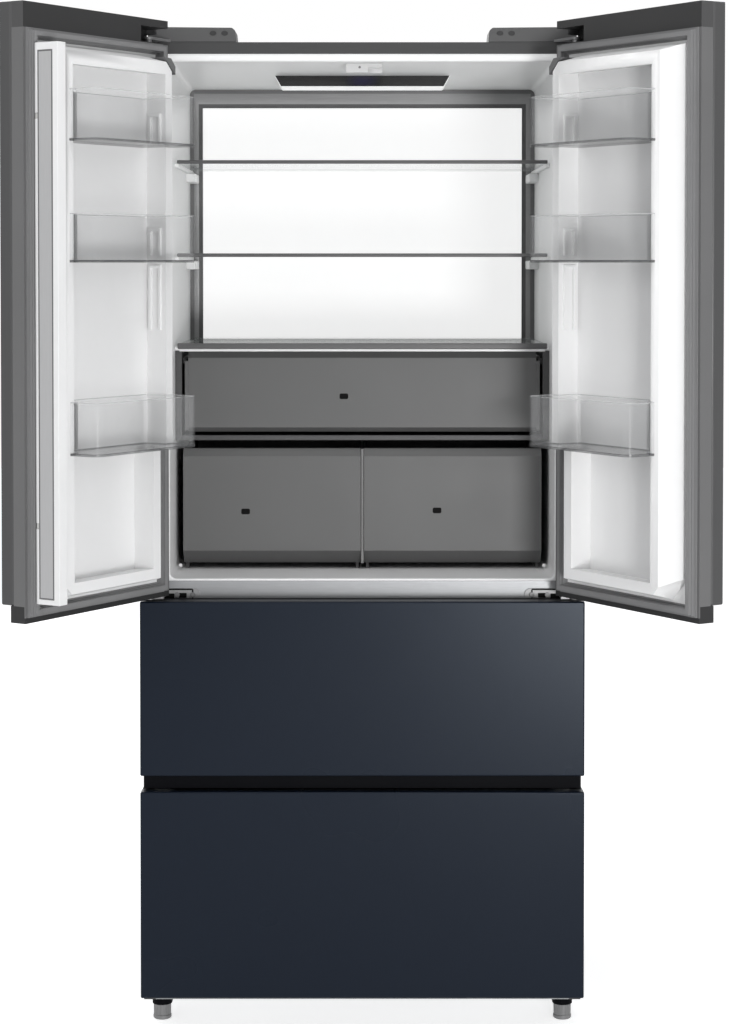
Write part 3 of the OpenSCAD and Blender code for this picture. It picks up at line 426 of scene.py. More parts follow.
def make_finishes():
    """Every finish of the refrigerator, under the key that the pieces ask for."""
    c = colours()
    front, case, liner, cap = tuple(c.front), tuple(c.case), tuple(c.liner), tuple(c.cap)
    grey, crisper, seal = tuple(c.frame_metal), tuple(c.crisper), tuple(c.seal)
    steel = dict(stretch=EVEN, fine=300.0)
    FINISHES.update(
        navy=brushed("Satin dark blue steel", front, 0.0, 0.27, 0.30, 0.12, 1.262, tinge=(0.82, 0.90, 1.0)),
        # Painted sheen: the folded returns of the blue fronts, and the cap ends by them, in a lighter grey
        # than their blue
        fold=brushed("Grey painted sheen on folded edges", (0.062, 0.062, 0.063), 0.1, 0.38, 0.46, 0.04, 1.42),
        # Painted shade: grey for the white door liners' sides and rim, and for the wedges at the doors' top
        # corners
        profile=moulded("Grey painted shade on liner edges", (0.125, 0.125, 0.126), 0.36, 0.44),
        case=brushed("Painted case steel", case, 0.0, 0.42, 0.5, 0.04, 1.4),
        back=galvanised("Galvanised back sheet", (0.36, 0.37, 0.38), 0.42, 0.55),
        bar=brushed("Brushed front bars", (0.25, 0.255, 0.262), 0.5, 0.34, 0.42, 0.08, stretch=LEVEL),
        duct=brushed("Brushed grey frame", grey, 0.6, 0.36, 0.46, 0.08, stretch=LEVEL),
        # Painted shade: a darker copy of the frame grey, on the frame's outer band and round the mullion
        # insert
        duct_dark=brushed("Brushed grey with painted shade", shade(grey, 0.6), 0.5, 0.36, 0.46, 0.08, stretch=LEVEL),
        # Painted glow: the console's plastic glows, though only its lens holds a lamp
        console=glowing("Console plastic with painted glow", (0.9, 0.9, 0.9), 0.35),
        cover=moulded("Hinge cover plastic", (0.075, 0.075, 0.076), 0.46, 0.54, 1400.0, 0.25, 0.05, 1.4),
        insert=brushed("Mullion insert", (0.42, 0.42, 0.425), 0.5, 0.34, 0.42, 0.05),
        bracket=brushed("Pale bracket steel", (0.24, 0.24, 0.243), 0.5, 0.36, 0.46, 0.06, **steel),
        foot=brushed("Foot sleeve", (0.22, 0.22, 0.222), 0.4, 0.36, 0.46, 0.06, stretch=(1, 1, 0.05)),
        hinge=brushed("Grey hinge steel", (0.16, 0.16, 0.162), 0.6, 0.36, 0.46, 0.06, **steel),
        zinc=brushed("Zinc plate", (0.50, 0.50, 0.49), 0.9, 0.30, 0.42, 0.06, **steel),
        liner=moulded("White moulded liner", liner, 0.34, 0.42, 500.0, 0.04, 0.012),
        # Painted shade: the door liners, their hooks and the mullion bar take a darker copy of the liner white
        door=moulded("White door liner with painted shade", shade(liner, 0.94), 0.38, 0.46, 500.0, 0.04, 0.012),
        # Painted shade: the mullion guide takes a darker copy of the liner white
        guide=moulded("Guide plastic with painted shade", shade(liner, 0.74), 0.42, 0.5, 500.0, 0.04),
        gloss=moulded("Gloss white plastic", (0.88, 0.88, 0.88), 0.16, 0.22, 300.0, 0.02, 0.01),
        # Painted glow: the rear panel glows so that no shade shows on it
        panel=painted_glow("White rear panel with painted glow", (0.34, 0.34, 0.34), 0.74),
        # Grey of the trims, also painted as shade on the duct frame's inner band by the panel
        trim=moulded("Satin grey trim and painted shade", (0.075, 0.075, 0.076), 0.34, 0.42),
        divider=moulded("Grey divider", (0.15, 0.15, 0.15), 0.4, 0.5),
        dark=moulded("Dark grey plastic", (0.035, 0.035, 0.036), 0.42, 0.5),
        cap=moulded("Door cap plastic", cap, 0.5, 0.58, 1400.0, 0.25, 0.05, 1.4),
        # Black of the plastic parts, also painted as shade on the front bars between the drawers
        black=moulded("Black plastic and painted shade", (0.012, 0.012, 0.013), 0.45, 0.55, 1200.0, 0.2),
        nylon=moulded("Grey nylon", (0.09, 0.09, 0.09), 0.4, 0.5, 500.0, 0.1),
        enamel=moulded("Black enamel", (0.008, 0.008, 0.009), 0.2, 0.3, 200.0, 0.08),
        seal=moulded("Seal rubber", seal, 0.5, 0.6, 700.0, 0.1, 0.04),
        foam=moulded("Insulating foam", (0.66, 0.56, 0.33), 0.85, 0.95, 260.0, 0.6, 0.10),
        crisper=moulded("Smoked crisper plastic", crisper, 0.42, 0.5, 700.0, 0.05, 0.04),
        # Near black: the drawers' dark inner panels, made darker still as painted shade of the recess between
        # the drawers
        core=moulded("Near black inner panels with painted shade", (0.003, 0.0032, 0.0044), 0.5, 0.6, 900.0, 0.08, 0.03, 1.12),
        glass=clear("Shelf glass", (0.58, 0.62, 0.61), 0.03, 1.50, 0.28),
        clear=clear("Clear door shelf plastic", (0.78, 0.79, 0.795), 0.10, 1.46, 0.055),
        clear_rim=clear("Clear plastic rim", (0.60, 0.605, 0.61), 0.10, 1.46, 0.40),
        # Painted shade: the base of the clear shelves is dark and less clear, as it looks seen edge-on
        clear_base=clear("Clear plastic base with painted shade", (0.11, 0.112, 0.115), 0.12, 1.46, 0.48),
        display=display_finish("Console glass"),
        lens=glowing("Lamp lens", (1.0, 1.0, 1.0), sizes().lamp_glow),
        # Black of the printed marks on the crispers, also painted as shade in the bracket slots
        mark=moulded("Printed marks and painted slot shade", (0.003, 0.003, 0.003), 0.5, 0.6, 600.0, 0.05, 0.04, 1.15),
    )


# ---- Making pieces ----


def spot(x, y, z):
    """Millimetres from the face of the closed doors, as a point in the row frame."""
    return Vector((x * MM, y * MM + FACE_Y, z * MM))


def block(x0, x1, y0, y1, z0, z1):
    """A block between two corners, in a mesh of its own."""
    bm = bmesh.new()
    add_block(bm, x0, x1, y0, y1, z0, z1)
    return bm


def add_block(bm, x0, x1, y0, y1, z0, z1):
    """A block between two corners, added to a mesh."""
    low, high = spot(x0, y0, z0), spot(x1, y1, z1)
    size, middle = high - low, (high + low) / 2
    place = Matrix.Translation(middle) @ Matrix.Diagonal((*size, 1))
    bmesh.ops.create_cube(bm, size=1.0, matrix=place)


def add_disc(bm, place, radius, inner, depth, segments):
    """A short cylinder or cone with both ends closed, in metres."""
    bmesh.ops.create_cone(
        bm, cap_ends=True, segments=segments, radius1=radius, radius2=inner, depth=depth, matrix=place
    )


def faces_towards(bm, direction, limit=0.9):
    """Faces that look along a direction."""
    d = Vector(direction)
    return [f for f in bm.faces if f.normal.dot(d) > limit]


def widest_front(bm):
    """The largest face that looks forwards."""
    return max(faces_towards(bm, (0, -1, 0), 0.99), key=lambda f: f.calc_area())


def inset(bm, face, thickness, depth=0.0):
    """Draws a border inside one face."""
    bmesh.ops.inset_individual(bm, faces=[face], thickness=thickness, depth=depth, use_even_offset=True)


def edges_along(bm, axis):
    """Edges that run along an axis."""
    return [e for e in bm.edges if abs((e.verts[1].co - e.verts[0].co).normalized()[axis]) > 0.99]


def round_edges(bm, edges, radius, segments):
    """Rounds edges to a radius in metres."""
    if edges:
        bmesh.ops.bevel(
            bm,
            geom=list(edges),
            offset=radius,
            offset_type="OFFSET",
            segments=segments,
            profile=0.5,
            affect="EDGES",
            clamp_overlap=True,
            material=-1,
        )


def sharp_edges(bm, least=30.0):
    """Edges that fold by more than an angle in degrees."""
    limit = math.radians(least)
    return [e for e in bm.edges if len(e.link_faces) == 2 and e.calc_face_angle(0) > limit]


def outline_of(node):
    """A copy of a CAD node's mesh, merged and with its flat faces whole."""
    bm = bmesh.new()
    bm.from_mesh(frame["nodes"][node].data)
    bmesh.ops.remove_doubles(bm, verts=bm.verts, dist=1e-5)
    bmesh.ops.dissolve_limit(bm, angle_limit=math.radians(0.4), verts=bm.verts, edges=bm.edges)
    bm.normal_update()
    return bm


def move(bm, place):
    """Sets a mesh in another place, with its faces still outwards after a mirror."""
    bmesh.ops.transform(bm, matrix=place, verts=bm.verts)
    if place.determinant() < 0:
        bmesh.ops.reverse_faces(bm, faces=bm.faces)


def piece(bm, name, body, finish, nodes=(), slot=None, place=None, crease=35.0, outward=False):
    """Turns a mesh into a finished piece that rides on a body."""
    if place is not None:
        move(bm, place)
    if outward:
        bmesh.ops.recalc_face_normals(bm, faces=bm.faces)
    mesh = bpy.data.meshes.new(name)
    bm.to_mesh(mesh)
    bm.free()
    for key in [finish] if isinstance(finish, str) else finish:
        mesh.materials.append(FINISHES[key])
    mesh.shade_smooth()
    mesh.set_sharp_from_angle(angle=math.radians(crease))
    obj = bpy.data.objects.new(name, mesh)
    bpy.context.scene.collection.objects.link(obj)
    flat = obj.modifiers.new("Flat faces", "WEIGHTED_NORMAL")
    flat.keep_sharp = True
    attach(obj, body)
    if nodes:
        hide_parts(*nodes)
    return obj


def body_of(node):
    """The body that a CAD node belongs to."""
    return frame["nodes"][node]["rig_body"]


def slot_of(node):
    """The material slot that the record gives a CAD node."""
    for part in frame["record"]["subparts"]:
        if part["node"] == node:
            return part["material_slot"]
    raise ValueError(f"no slot for {node}")


def stand_in(bm, name, node, finish, **choices):
    """A piece that replaces a CAD node, on its body."""
    return piece(bm, name, body_of(node), finish, [node], slot_of(node), **choices)


def softened(node, finish, radius, segments=2, least=30.0, name=None):
    """A CAD node's shape with its edges rounded, which stands for the node."""
    bm = outline_of(node)
    round_edges(bm, sharp_edges(bm, least), radius, segments)
    stand_in(bm, name or node + "_shell", node, finish)


def bare(node, finish):
    """A CAD node that shows as it is, under its own finish."""
    obj = frame["nodes"][node]
    obj.data.materials.clear()
    obj.data.materials.append(FINISHES[finish])


def add_prism(bm, points, run):
    """A flat outline drawn out along a vector, added to a mesh."""
    face = bm.faces.new([bm.verts.new(spot(*p)) for p in points])
    grown = bmesh.ops.extrude_face_region(bm, geom=[face], use_keep_orig=True)
    moved = [g for g in grown["geom"] if isinstance(g, bmesh.types.BMVert)]
    bmesh.ops.translate(bm, vec=Vector(run) * MM, verts=moved)
    bmesh.ops.recalc_face_normals(bm, faces=bm.faces)


def paint(bm, slot, test):
    """Gives the faces that pass a test another of the piece's finishes."""
    bm.normal_update()
    for f in bm.faces:
        if test(f, f.calc_center_median()):
            f.material_index = slot


def cut(bm, point, normal, drop_below=False):
    """Scores a plane through a mesh, so that a finish can end there, or takes off what lies below it."""
    geom = bm.verts[:] + bm.edges[:] + bm.faces[:]
    bmesh.ops.bisect_plane(
        bm, geom=geom, plane_co=point, plane_no=normal, dist=1e-6, clear_inner=drop_below
    )


def wall(obj, thickness):
    """Gives an open shell its sheet thickness, inwards."""
    solid = obj.modifiers.new("Sheet", "SOLIDIFY")
    solid.thickness = thickness
    solid.offset = -1.0
    solid.use_even_offset = True


def ring_seal(x0, x1, z0, z1):
    """A seal ring on the back of a closed front: a flat foot, then its folds."""
    bm = bmesh.new()
    size = Vector(((x1 - x0) * MM, (z1 - z0) * MM))
    middle = spot((x0 + x1) / 2, DOOR_T, (z0 + z1) / 2)
    turn = Matrix.Rotation(-math.pi / 2, 4, "X")
    bmesh.ops.create_grid(bm, x_segments=1, y_segments=1, size=0.5)
    bmesh.ops.scale(bm, vec=(size.x, size.y, 1), verts=bm.verts)
    bmesh.ops.transform(bm, matrix=Matrix.Translation(middle) @ turn, verts=bm.verts)
    made = bmesh.ops.inset_region(
        bm, faces=bm.faces, thickness=SEAL_W * MM, use_boundary=True, use_even_offset=True
    )
    ring = list(made["faces"])
    bmesh.ops.delete(bm, geom=[f for f in bm.faces if f not in ring], context="FACES")
    for rise, inwards in SEAL_FOLDS:
        if rise:
            grown = bmesh.ops.extrude_face_region(bm, geom=ring)
            ring = [g for g in grown["geom"] if isinstance(g, bmesh.types.BMFace)]
            moved = [g for g in grown["geom"] if isinstance(g, bmesh.types.BMVert)]
            bmesh.ops.translate(bm, vec=(0, rise * MM, 0), verts=moved)
        if inwards:
            bmesh.ops.inset_region(
                bm,
                faces=ring,
                thickness=abs(inwards) * MM,
                use_boundary=True,
                use_even_offset=True,
                use_outset=inwards < 0,
            )
    return bm


def folded_front(x0, x1, z0, z1):
    """An open tray of sheet steel: a face with its edges folded back."""
    bm = block(x0, x1, 0, HEM, z0, z1)
    bmesh.ops.delete(bm, geom=faces_towards(bm, (0, 1, 0)), context="FACES")
    round_edges(bm, sharp_edges(bm), sizes().fold_radius, 4)
    return bm


def closed_outline(node, place):
    """A copy of a door's CAD node, set in the place that it has when the door is closed."""
    bm = outline_of(node)
    move(bm, place.inverted())
    return bm


# ---- Operators: one for each piece or group ----


class FRIDGE_OT_finishes(bpy.types.Operator):
    """Make the finishes from the colours"""

    bl_idname = "fridge.finishes"
    bl_label = "Finishes"

    def execute(self, context):
        make_finishes()
        return {"FINISHED"}


class FRIDGE_OT_drawer_fronts(bpy.types.Operator):
    """Fold the steel fronts of the two freezer drawers, with their inner panels"""

    bl_idname = "fridge.drawer_fronts"
    bl_label = "Drawer fronts"

    def execute(self, context):
        for level in ("upper", "lower"):
            node = level + "_front"
            low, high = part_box(node)
            bm = folded_front(-HALF_W, HALF_W, low.z / MM, high.z / MM)
            wall(stand_in(bm, level + "_drawer_front", node, "navy"), FRONT_SHEET)
            # The inner panels take the near black finish, painted shade of the gap between the drawers
            softened(level + "_core", "core", 0.0015, name=level + "_inner_panel")
        return {"FINISHED"}


class FRIDGE_OT_door_fronts(bpy.types.Operator):
    """Fold the steel fronts of the two doors, with the notch for the upper hinge"""

    bl_idname = "fridge.door_fronts"
    bl_label = "Door fronts"

    def execute(self, context):
        for side, place in SIDES:
            bm = folded_front(-HALF_W, -LEAF_IN, SKIN_BOTTOM, DOOR_TOP)
            for z in ARM_SLOT:
                cut(bm, spot(0, 0, z), (0, 0, 1))
            for y in (ARM_SLOT_Y, FOOT_HEM_Y):
                cut(bm, spot(0, y, 0), (0, 1, 0))
            low = spot(-HALF_W - 1, ARM_SLOT_Y, ARM_SLOT[0])
            high = spot(-HALF_W + 2, HEM + 1, ARM_SLOT[1])
            taken = []
            for f in bm.faces:
                c = f.calc_center_median()
                in_notch = all(low[i] < c[i] < high[i] for i in range(3))
                top = c.z > (DOOR_TOP - 0.5) * MM and c.y > spot(0, TOP_HEM_Y, 0).y
                under = c.z < (SKIN_BOTTOM + 0.5) * MM and c.y > spot(0, FOOT_HEM_Y, 0).y
                if in_notch or top or under:
                    taken.append(f)
            bmesh.ops.delete(bm, geom=taken, context="FACES")
            # The returns are painted lighter grey: painted sheen on the blue steel
            paint(bm, 1, lambda f, c: f.normal.y > -0.5)
            front = stand_in(bm, side + "_door_front", side + "_skin", ["navy", "fold"], place=place)
            wall(front, FRONT_SHEET)
            bare(side + "_foam", "foam")
            bm = closed_outline(side + "_caps", place)
            round_edges(bm, sharp_edges(bm), sizes().edge_radius, 2)
            # The caps' free ends take the same grey, continuing the painted sheen of the returns
            paint(bm, 1, lambda f, c: f.normal.x > 0.7 and c.z > 1.8 and c.x > -0.01)
            stand_in(bm, side + "_door_caps", side + "_caps", ["cap", "fold"], place=place)
        return {"FINISHED"}


class FRIDGE_OT_door_liners(bpy.types.Operator):
    """Mould the white liners of the two doors, with their raised borders"""

    bl_idname = "fridge.door_liners"
    bl_label = "Door liners"

    def execute(self, context):
        back = spot(0, DOOR_T, 0).y
        edge_low = spot(-HALF_W + 1, 0, SEAL_Z[0] + 1)
        edge_high = spot(-LEAF_IN - 1, 0, SEAL_Z[1] - 1)
        x0, x1 = (x * MM for x in SHADE_EDGE_X)
        z0, z1 = (z * MM for z in SHADE_EDGE_Z)

        def at_rim(e):
            """An outer edge of the liner, where the seal sits."""
            flat = all(abs(v.co.y - back) < 1e-4 for v in e.verts)
            return flat and any(
                not (edge_low.x <= v.co.x <= edge_high.x and edge_low.z <= v.co.z <= edge_high.z)
                for v in e.verts
            )

        for side, place in SIDES:
            node = side + "_liner"
            bm = closed_outline(node, place)
            bm.normal_update()
            inner = [e for e in sharp_edges(bm, 12) if all(v.co.y > back - 1e-4 for v in e.verts)]
            round_edges(bm, [e for e in inner if not at_rim(e)], sizes().border_radius, 4)
            for x in (x1, x0):
                cut(bm, (x, FACE_Y, 0), (1, 0, 0))
            for z in (z0, z1):
                cut(bm, (0, FACE_Y, z), (0, 0, 1))
            # The liner's sides and rim outside the rectangle are painted grey: painted shade on the white
            # liner
            paint(bm, 1, lambda f, c: c.y < back + 1e-4 and not (x0 < c.x < x1 and z0 < c.z < z1))
            stand_in(bm, side + "_door_liner", node, ["door", "profile"], place=place, crease=32)
            bm = bmesh.new()
            # A grey wedge that stands for the shade between the door and the case
            add_prism(bm, SHADE_WEDGE, (0, SHADE_WEDGE_DEPTH, 0))
            round_edges(bm, bm.edges[:], 0.0010, 2)
            piece(bm, side + "_painted_shade_wedge", body_of(node), "profile", slot="seal_rubber", place=place)
            bm = bmesh.new()
            for low, high in HOOK_Z:
                a, b, c, d = HOOK_Y
                arch = [(a, low), (b, low), (b, high - 6), (c, high - 6)]
                arch += [(c, low), (d, low), (d, high), (a, high)]
                add_prism(bm, [(HOOK_X, y, z) for y, z in arch], (HOOK_W, 0, 0))
            fronts = [e for e in sharp_edges(bm) if max(v.co.x for v in e.verts) > -0.330]
            round_edges(bm, fronts, 0.0012, 2)
            piece(bm, side + "_shelf_hooks", body_of(node), "door", slot="white_liner", place=place)
        return {"FINISHED"}


class FRIDGE_OT_seals(bpy.types.Operator):
    """Extrude the seals of the doors and the drawers"""

    bl_idname = "fridge.seals"
    bl_label = "Seals"

    def execute(self, context):
        for side, place in SIDES:
            bm = ring_seal(*SEAL_X, *SEAL_Z)
            stand_in(bm, side + "_door_seal", side + "_gasket", "seal", place=place, outward=True)
        for level in ("upper", "lower"):
            node = level + "_gasket"
            low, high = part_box(node)
            bm = ring_seal(-high.x / MM, high.x / MM, low.z / MM, high.z / MM)
            stand_in(bm, level + "_drawer_seal", node, "seal", outward=True)
        return {"FINISHED"}


class FRIDGE_OT_door_shelves(bpy.types.Operator):
    """Mould the clear shelves of the doors"""

    bl_idname = "fridge.door_shelves"
    bl_label = "Door shelves"

    def execute(self, context):
        for side in ("left", "right"):
            node = side + "_bins"
            bm = outline_of(node)
            round_edges(bm, sharp_edges(bm, 40), 0.0011, 2)
            for low, height in SHELF_ROWS:
                top, base = (low + height) * MM, (low + SHELF_BASE) * MM
                cut(bm, (0, 0, base), (0, 0, 1))
                paint(bm, 1, lambda f, c: abs(c.z - top) < 0.0012)
                # The base band is painted dark: painted shade of the clear plastic seen edge-on
                paint(bm, 2, lambda f, c: base - 0.005 < c.z < base)
            stand_in(bm, side + "_door_shelves", node, ["clear", "clear_rim", "clear_base"])
        return {"FINISHED"}


class FRIDGE_OT_mullion(bpy.types.Operator):
    """Fold the mullion against the left door"""

    bl_idname = "fridge.mullion"
    bl_label = "Folding mullion"

    def execute(self, context):
        softened("mullion_bar", "door", 0.0012, 3, 40)
        bm = outline_of("mullion_insert")
        low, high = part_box("mullion_insert")
        turn = Matrix.Rotation(-math.radians(OPEN_DEG - 90), 4, "Z")
        turned = Matrix.Translation((low + high) / 2) @ turn
        move(bm, turned.inverted())
        bmesh.ops.scale(bm, vec=INSERT_STRETCH, verts=bm.verts)
        face = widest_front(bm)
        inset(bm, face, 0.0028)
        # The border round the insert is painted darker: painted shade of the groove round it
        paint(bm, 1, lambda f, c: f is not face)
        stand_in(bm, "mullion_insert_plate", "mullion_insert", ["insert", "duct_dark"], place=turned)
        softened("mullion_hinges", "zinc", 0.0005, 2, 40)
        softened("mullion_guide", "guide", 0.0045, 4, name="mullion_guide_block")
        bm = bmesh.new()
        add_disc(bm, Matrix.Translation(spot(*GUIDE_SCREW)) @ TO_FRONT, 0.0024, 0.0024, 0.0012, 20)
        piece(bm, "guide_screw", "cabinet", "hinge", slot="zinc_steel")
        return {"FINISHED"}


class FRIDGE_OT_case(bpy.types.Operator):
    """Bend the case, its back and its front bars"""

    bl_idname = "fridge.case"
    bl_label = "Case"

    def execute(self, context):
        softened("case_wrap", "case", 0.0004)
        softened("rear_panel", "back", 0.0003, 1)
        bm = outline_of("crossbars")
        round_edges(bm, sharp_edges(bm), 0.0004, 2)
        # The band of the front bars between the drawers is painted black: painted shade of the gap, over the
        # bars' brushed grey
        paint(bm, 1, lambda f, c: SHADED_BAR_BAND[0] < c.z < SHADED_BAR_BAND[1])
        stand_in(bm, "front_bars", "crossbars", ["bar", "black"])
        bare("cabinet_foam", "dark")
        return {"FINISHED"}


class FRIDGE_OT_liners(bpy.types.Operator):
    """Mould the liners of the two compartments"""

    bl_idname = "fridge.liners"
    bl_label = "Compartment liners"

    def execute(self, context):
        (x0, y0, z0), (x1, y1, z1) = LINER_LOW, LINER_HIGH
        bm = block(x0, x1, y0, y1, z0, z1)
        back, middle = spot(0, y1, 0).y, spot(0, 300, 1300)
        for v in bm.verts:
            if v.co.y > back - 1e-4 and v.co.z > middle.z:
                v.co.z -= CEILING_FALL
        bm.normal_update()
        front = faces_towards(bm, (0, -1, 0))[0]
        corner = [e for e in bm.edges if e not in front.edges[:]]
        bmesh.ops.delete(bm, geom=[front], context="FACES_ONLY")
        round_edges(bm, corner, sizes().liner_radius, 6)
        rim = [e for e in bm.edges if e.is_boundary]
        made = bmesh.ops.extrude_edge_only(bm, edges=rim)
        lip = [g for g in made["geom"] if isinstance(g, bmesh.types.BMVert)]
        for v in lip:
            v.co.x += math.copysign(LIP_SIDE, v.co.x)
            v.co.z += LIP_TOP if v.co.z > middle.z else LIP_FOOT
        bmesh.ops.recalc_face_normals(bm, faces=bm.faces)
        rear = next(f for f in bm.faces if f.calc_center_median().y > middle.y)
        if rear.normal.dot(middle - rear.calc_center_median()) < 0:
            bmesh.ops.reverse_faces(bm, faces=bm.faces)
        bm.normal_update()
        mouth = spot(0, CASE_Y + 0.1, 0).y
        fold = [
            e
            for e in bm.edges
            if len(e.link_faces) == 2 and e.calc_face_angle(0) > 1.0 and all(v.co.y < mouth for v in e.verts)
        ]
        round_edges(bm, fold, 0.005, 4)
        shell = piece(bm, "fresh_food_liner", "cabinet", "liner", ["fridge_liner"], "white_liner", crease=50)
        wall(shell, LINER_SHEET)
        bm = bmesh.new()
        for side in (-1, 1):
            for top in LEDGE_TOPS:
                reach = sorted((side * LEDGE_TIP, side * LEDGE_ROOT))
                add_block(bm, *reach, *LEDGE_Y, top - LEDGE_T, top - LEDGE_GAP)
            for top in REST_TOPS:
                reach = sorted((side * REST_TIP, side * LEDGE_ROOT))
                add_block(bm, *reach, *REST_Y, top - REST_T, top)
        round_edges(bm, bm.edges[:], 0.0022, 3)
        piece(bm, "shelf_ledges", "cabinet", "liner", slot="white_liner")
        softened("freezer_liner", "liner", 0.0009)
        return {"FINISHED"}


class FRIDGE_OT_rear_duct(bpy.types.Operator):
    """Frame the white panel on the rear wall"""

    bl_idname = "fridge.rear_duct"
    bl_label = "Rear duct"

    def execute(self, context):
        bm = outline_of("duct_panel")
        round_edges(bm, sharp_edges(bm), 0.0012, 2)
        cut(bm, (0, 0, PANEL_FOOT), (0, 0, 1))
        paint(bm, 1, lambda f, c: c.z < PANEL_FOOT)
        stand_in(bm, "rear_painted_glow_panel", "duct_panel", ["panel", "gloss"])
        bm = outline_of("duct_frame")
        face = widest_front(bm)
        inset(bm, face, DUCT_BORDER)
        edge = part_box("duct_panel")[1] + Vector((DUCT_SHADE_EDGE, 0, DUCT_SHADE_EDGE))
        # The frame's border is painted as shade: the inner band by the panel in trim grey, the outer band in a
        # darker copy of the frame grey
        for f in faces_towards(bm, (0, -1, 0), 0.99):
            if f is not face:
                c = f.calc_center_median()
                f.material_index = 2 if abs(c.x) < edge.x and c.z < edge.z else 1
        inset(bm, face, DUCT_LIP, 0.0012)
        stand_in(bm, "duct_surround", "duct_frame", ["duct", "duct_dark", "trim"], crease=20)
        return {"FINISHED"}


class FRIDGE_OT_console(bpy.types.Operator):
    """Hang the console with its display and lamp from the ceiling"""

    bl_idname = "fridge.console"
    bl_label = "Ceiling console"

    def execute(self, context):
        # The console's plastic glows: painted glow around the lens
        softened("ceiling_console", "console", 0.0015)
        softened("display_glass", "display", 0.0005)
        bm = block(*CONSOLE_LENS)
        round_edges(bm, bm.edges[:], 0.0005, 2)
        piece(bm, "console_lens", "cabinet", "lens")
        return {"FINISHED"}


class FRIDGE_OT_shelves(bpy.types.Operator):
    """Lay the glass shelves and the cover over the crispers"""

    bl_idname = "fridge.shelves"
    bl_label = "Glass shelves"

    def execute(self, context):
        softened("glass_shelves", "glass", 0.0008)
        softened("shelf_trims", "trim", 0.0016, 3)
        bm = block(*COVER_GLASS)
        round_edges(bm, bm.edges[:], 0.0008, 2)
        piece(bm, "cover_glass", "cabinet", "glass", ["crisper_cover"], "shelf_glass")
        bm = block(*COVER_TRIM)
        round_edges(bm, bm.edges[:], 0.0016, 3)
        piece(bm, "cover_trim", "cabinet", "trim", slot="trim_grey")
        bm = block(*COVER_STRIP)
        round_edges(bm, bm.edges[:], 0.0010, 2)
        piece(bm, "cover_strip", "cabinet", "gloss", slot="white_gloss")
        return {"FINISHED"}


class FRIDGE_OT_crispers(bpy.types.Operator):
    """Mould the crispers and the frame that carries them"""

    bl_idname = "fridge.crispers"
    bl_label = "Crispers"

    def execute(self, context):
        for node, (x, y, z) in CRISPER_MARKS.items():
            bm = outline_of(node)
            around = widest_front(bm).edges[:]
            rims = [e for e in sharp_edges(bm) if e.is_convex and e not in around]
            round_edges(bm, rims, 0.0006, 2)
            bm.normal_update()
            face = widest_front(bm)
            inset(bm, face, 0.004)
            inset(bm, face, 0.0012, -0.0010)
            stand_in(bm, node + "_box", node, "crisper")
            bm = block(
                x - MARK_HALF_W, x + MARK_HALF_W, y, y + MARK_T, z - MARK_HALF_H, z + MARK_HALF_H
            )
            round_edges(bm, edges_along(bm, 1), 0.003, 4)
            piece(bm, node + "_mark", body_of(node), "mark", slot=slot_of(node))
        bm = bmesh.new()
        for fin in CRISPER_FINS:
            add_block(bm, *fin)
        round_edges(bm, edges_along(bm, 2), 0.0008, 2)
        piece(bm, "wide_crisper_fins", body_of("wide_crisper"), "crisper", slot=slot_of("wide_crisper"))
        bm = bmesh.new()
        for x in (-STUD_X, STUD_X):
            place = Matrix.Translation(spot(x, STUD_Y, STUD_Z))
            bmesh.ops.create_icosphere(bm, subdivisions=3, radius=0.0038, matrix=place)
        piece(bm, "crisper_studs", "cabinet", "gloss", slot="white_gloss")
        softened("crisper_frame", "dark", 0.0010)
        bm = block(*CRISPER_DIVIDER)
        round_edges(bm, edges_along(bm, 2), 0.0008, 2)
        piece(bm, "crisper_divider", "cabinet", "divider", slot="trim_grey")
        return {"FINISHED"}


class FRIDGE_OT_hinges(bpy.types.Operator):
    """Fit the hinge brackets, their screws and their covers"""

    bl_idname = "fridge.hinges"
    bl_label = "Hinges"

    def execute(self, context):
        softened("hinge_brackets", "bracket", 0.0006, 2, 40)
        softened("hinge_screws", "hinge", 0.0006, 2, 40)
        for side, sign in (("left", -1), ("right", 1)):
            bm = bmesh.new()
            # Black plates on the brackets stand for the shade in their slots and under the door
            for x, wide, low, high in BRACKET_SLOT_SHADES:
                add_block(bm, sign * x - wide / 2, sign * x + wide / 2, *SLOT_SHADE_Y, low, high)
            round_edges(bm, edges_along(bm, 1), 0.0012, 4)
            piece(bm, side + "_bracket_slot_shades", "cabinet", "mark", slot="black_plastic")
        bm = bmesh.new()
        for sign in (-1, 1):
            outline = [(sign * x, CASE_Y + 1, CASE_TOP + rise) for x, rise in HINGE_COVER]
            add_prism(bm, outline, (0, HINGE_COVER_DEPTH, 0))
        round_edges(bm, sharp_edges(bm), 0.0020, 3)
        stand_in(bm, "hinge_cover_shells", "hinge_covers", "cover", crease=40)
        bm = bmesh.new()
        for x in PLUG_X:
            for sign in (-1, 1):
                middle = spot(sign * x, CASE_Y + 0.9, CASE_TOP + PLUG_RISE)
                place = Matrix.Translation(middle) @ TO_FRONT @ Matrix.Diagonal((1.4, 1, 1, 1))
                add_disc(bm, place, 0.0048, 0.0044, 0.0012, 24)
        piece(bm, "hinge_cover_plugs", "cabinet", "black", slot="cap_plastic")
        return {"FINISHED"}


class FRIDGE_OT_drawers(bpy.types.Operator):
    """Hang the drawer baskets on their rails"""

    bl_idname = "fridge.drawers"
    bl_label = "Drawers"

    def execute(self, context):
        for level in ("upper", "lower"):
            softened(level + "_basket", "liner", 0.0012)
            softened(level + "_rails", "zinc", 0.0006)
            softened(level + "_slides", "zinc", 0.0006)
        softened("freezer_rails", "zinc", 0.0006)
        softened("evaporator_cover", "liner", 0.0004, 2, 40)
        softened("fan_rotor", "black", 0.0004, 2, 40)
        return {"FINISHED"}


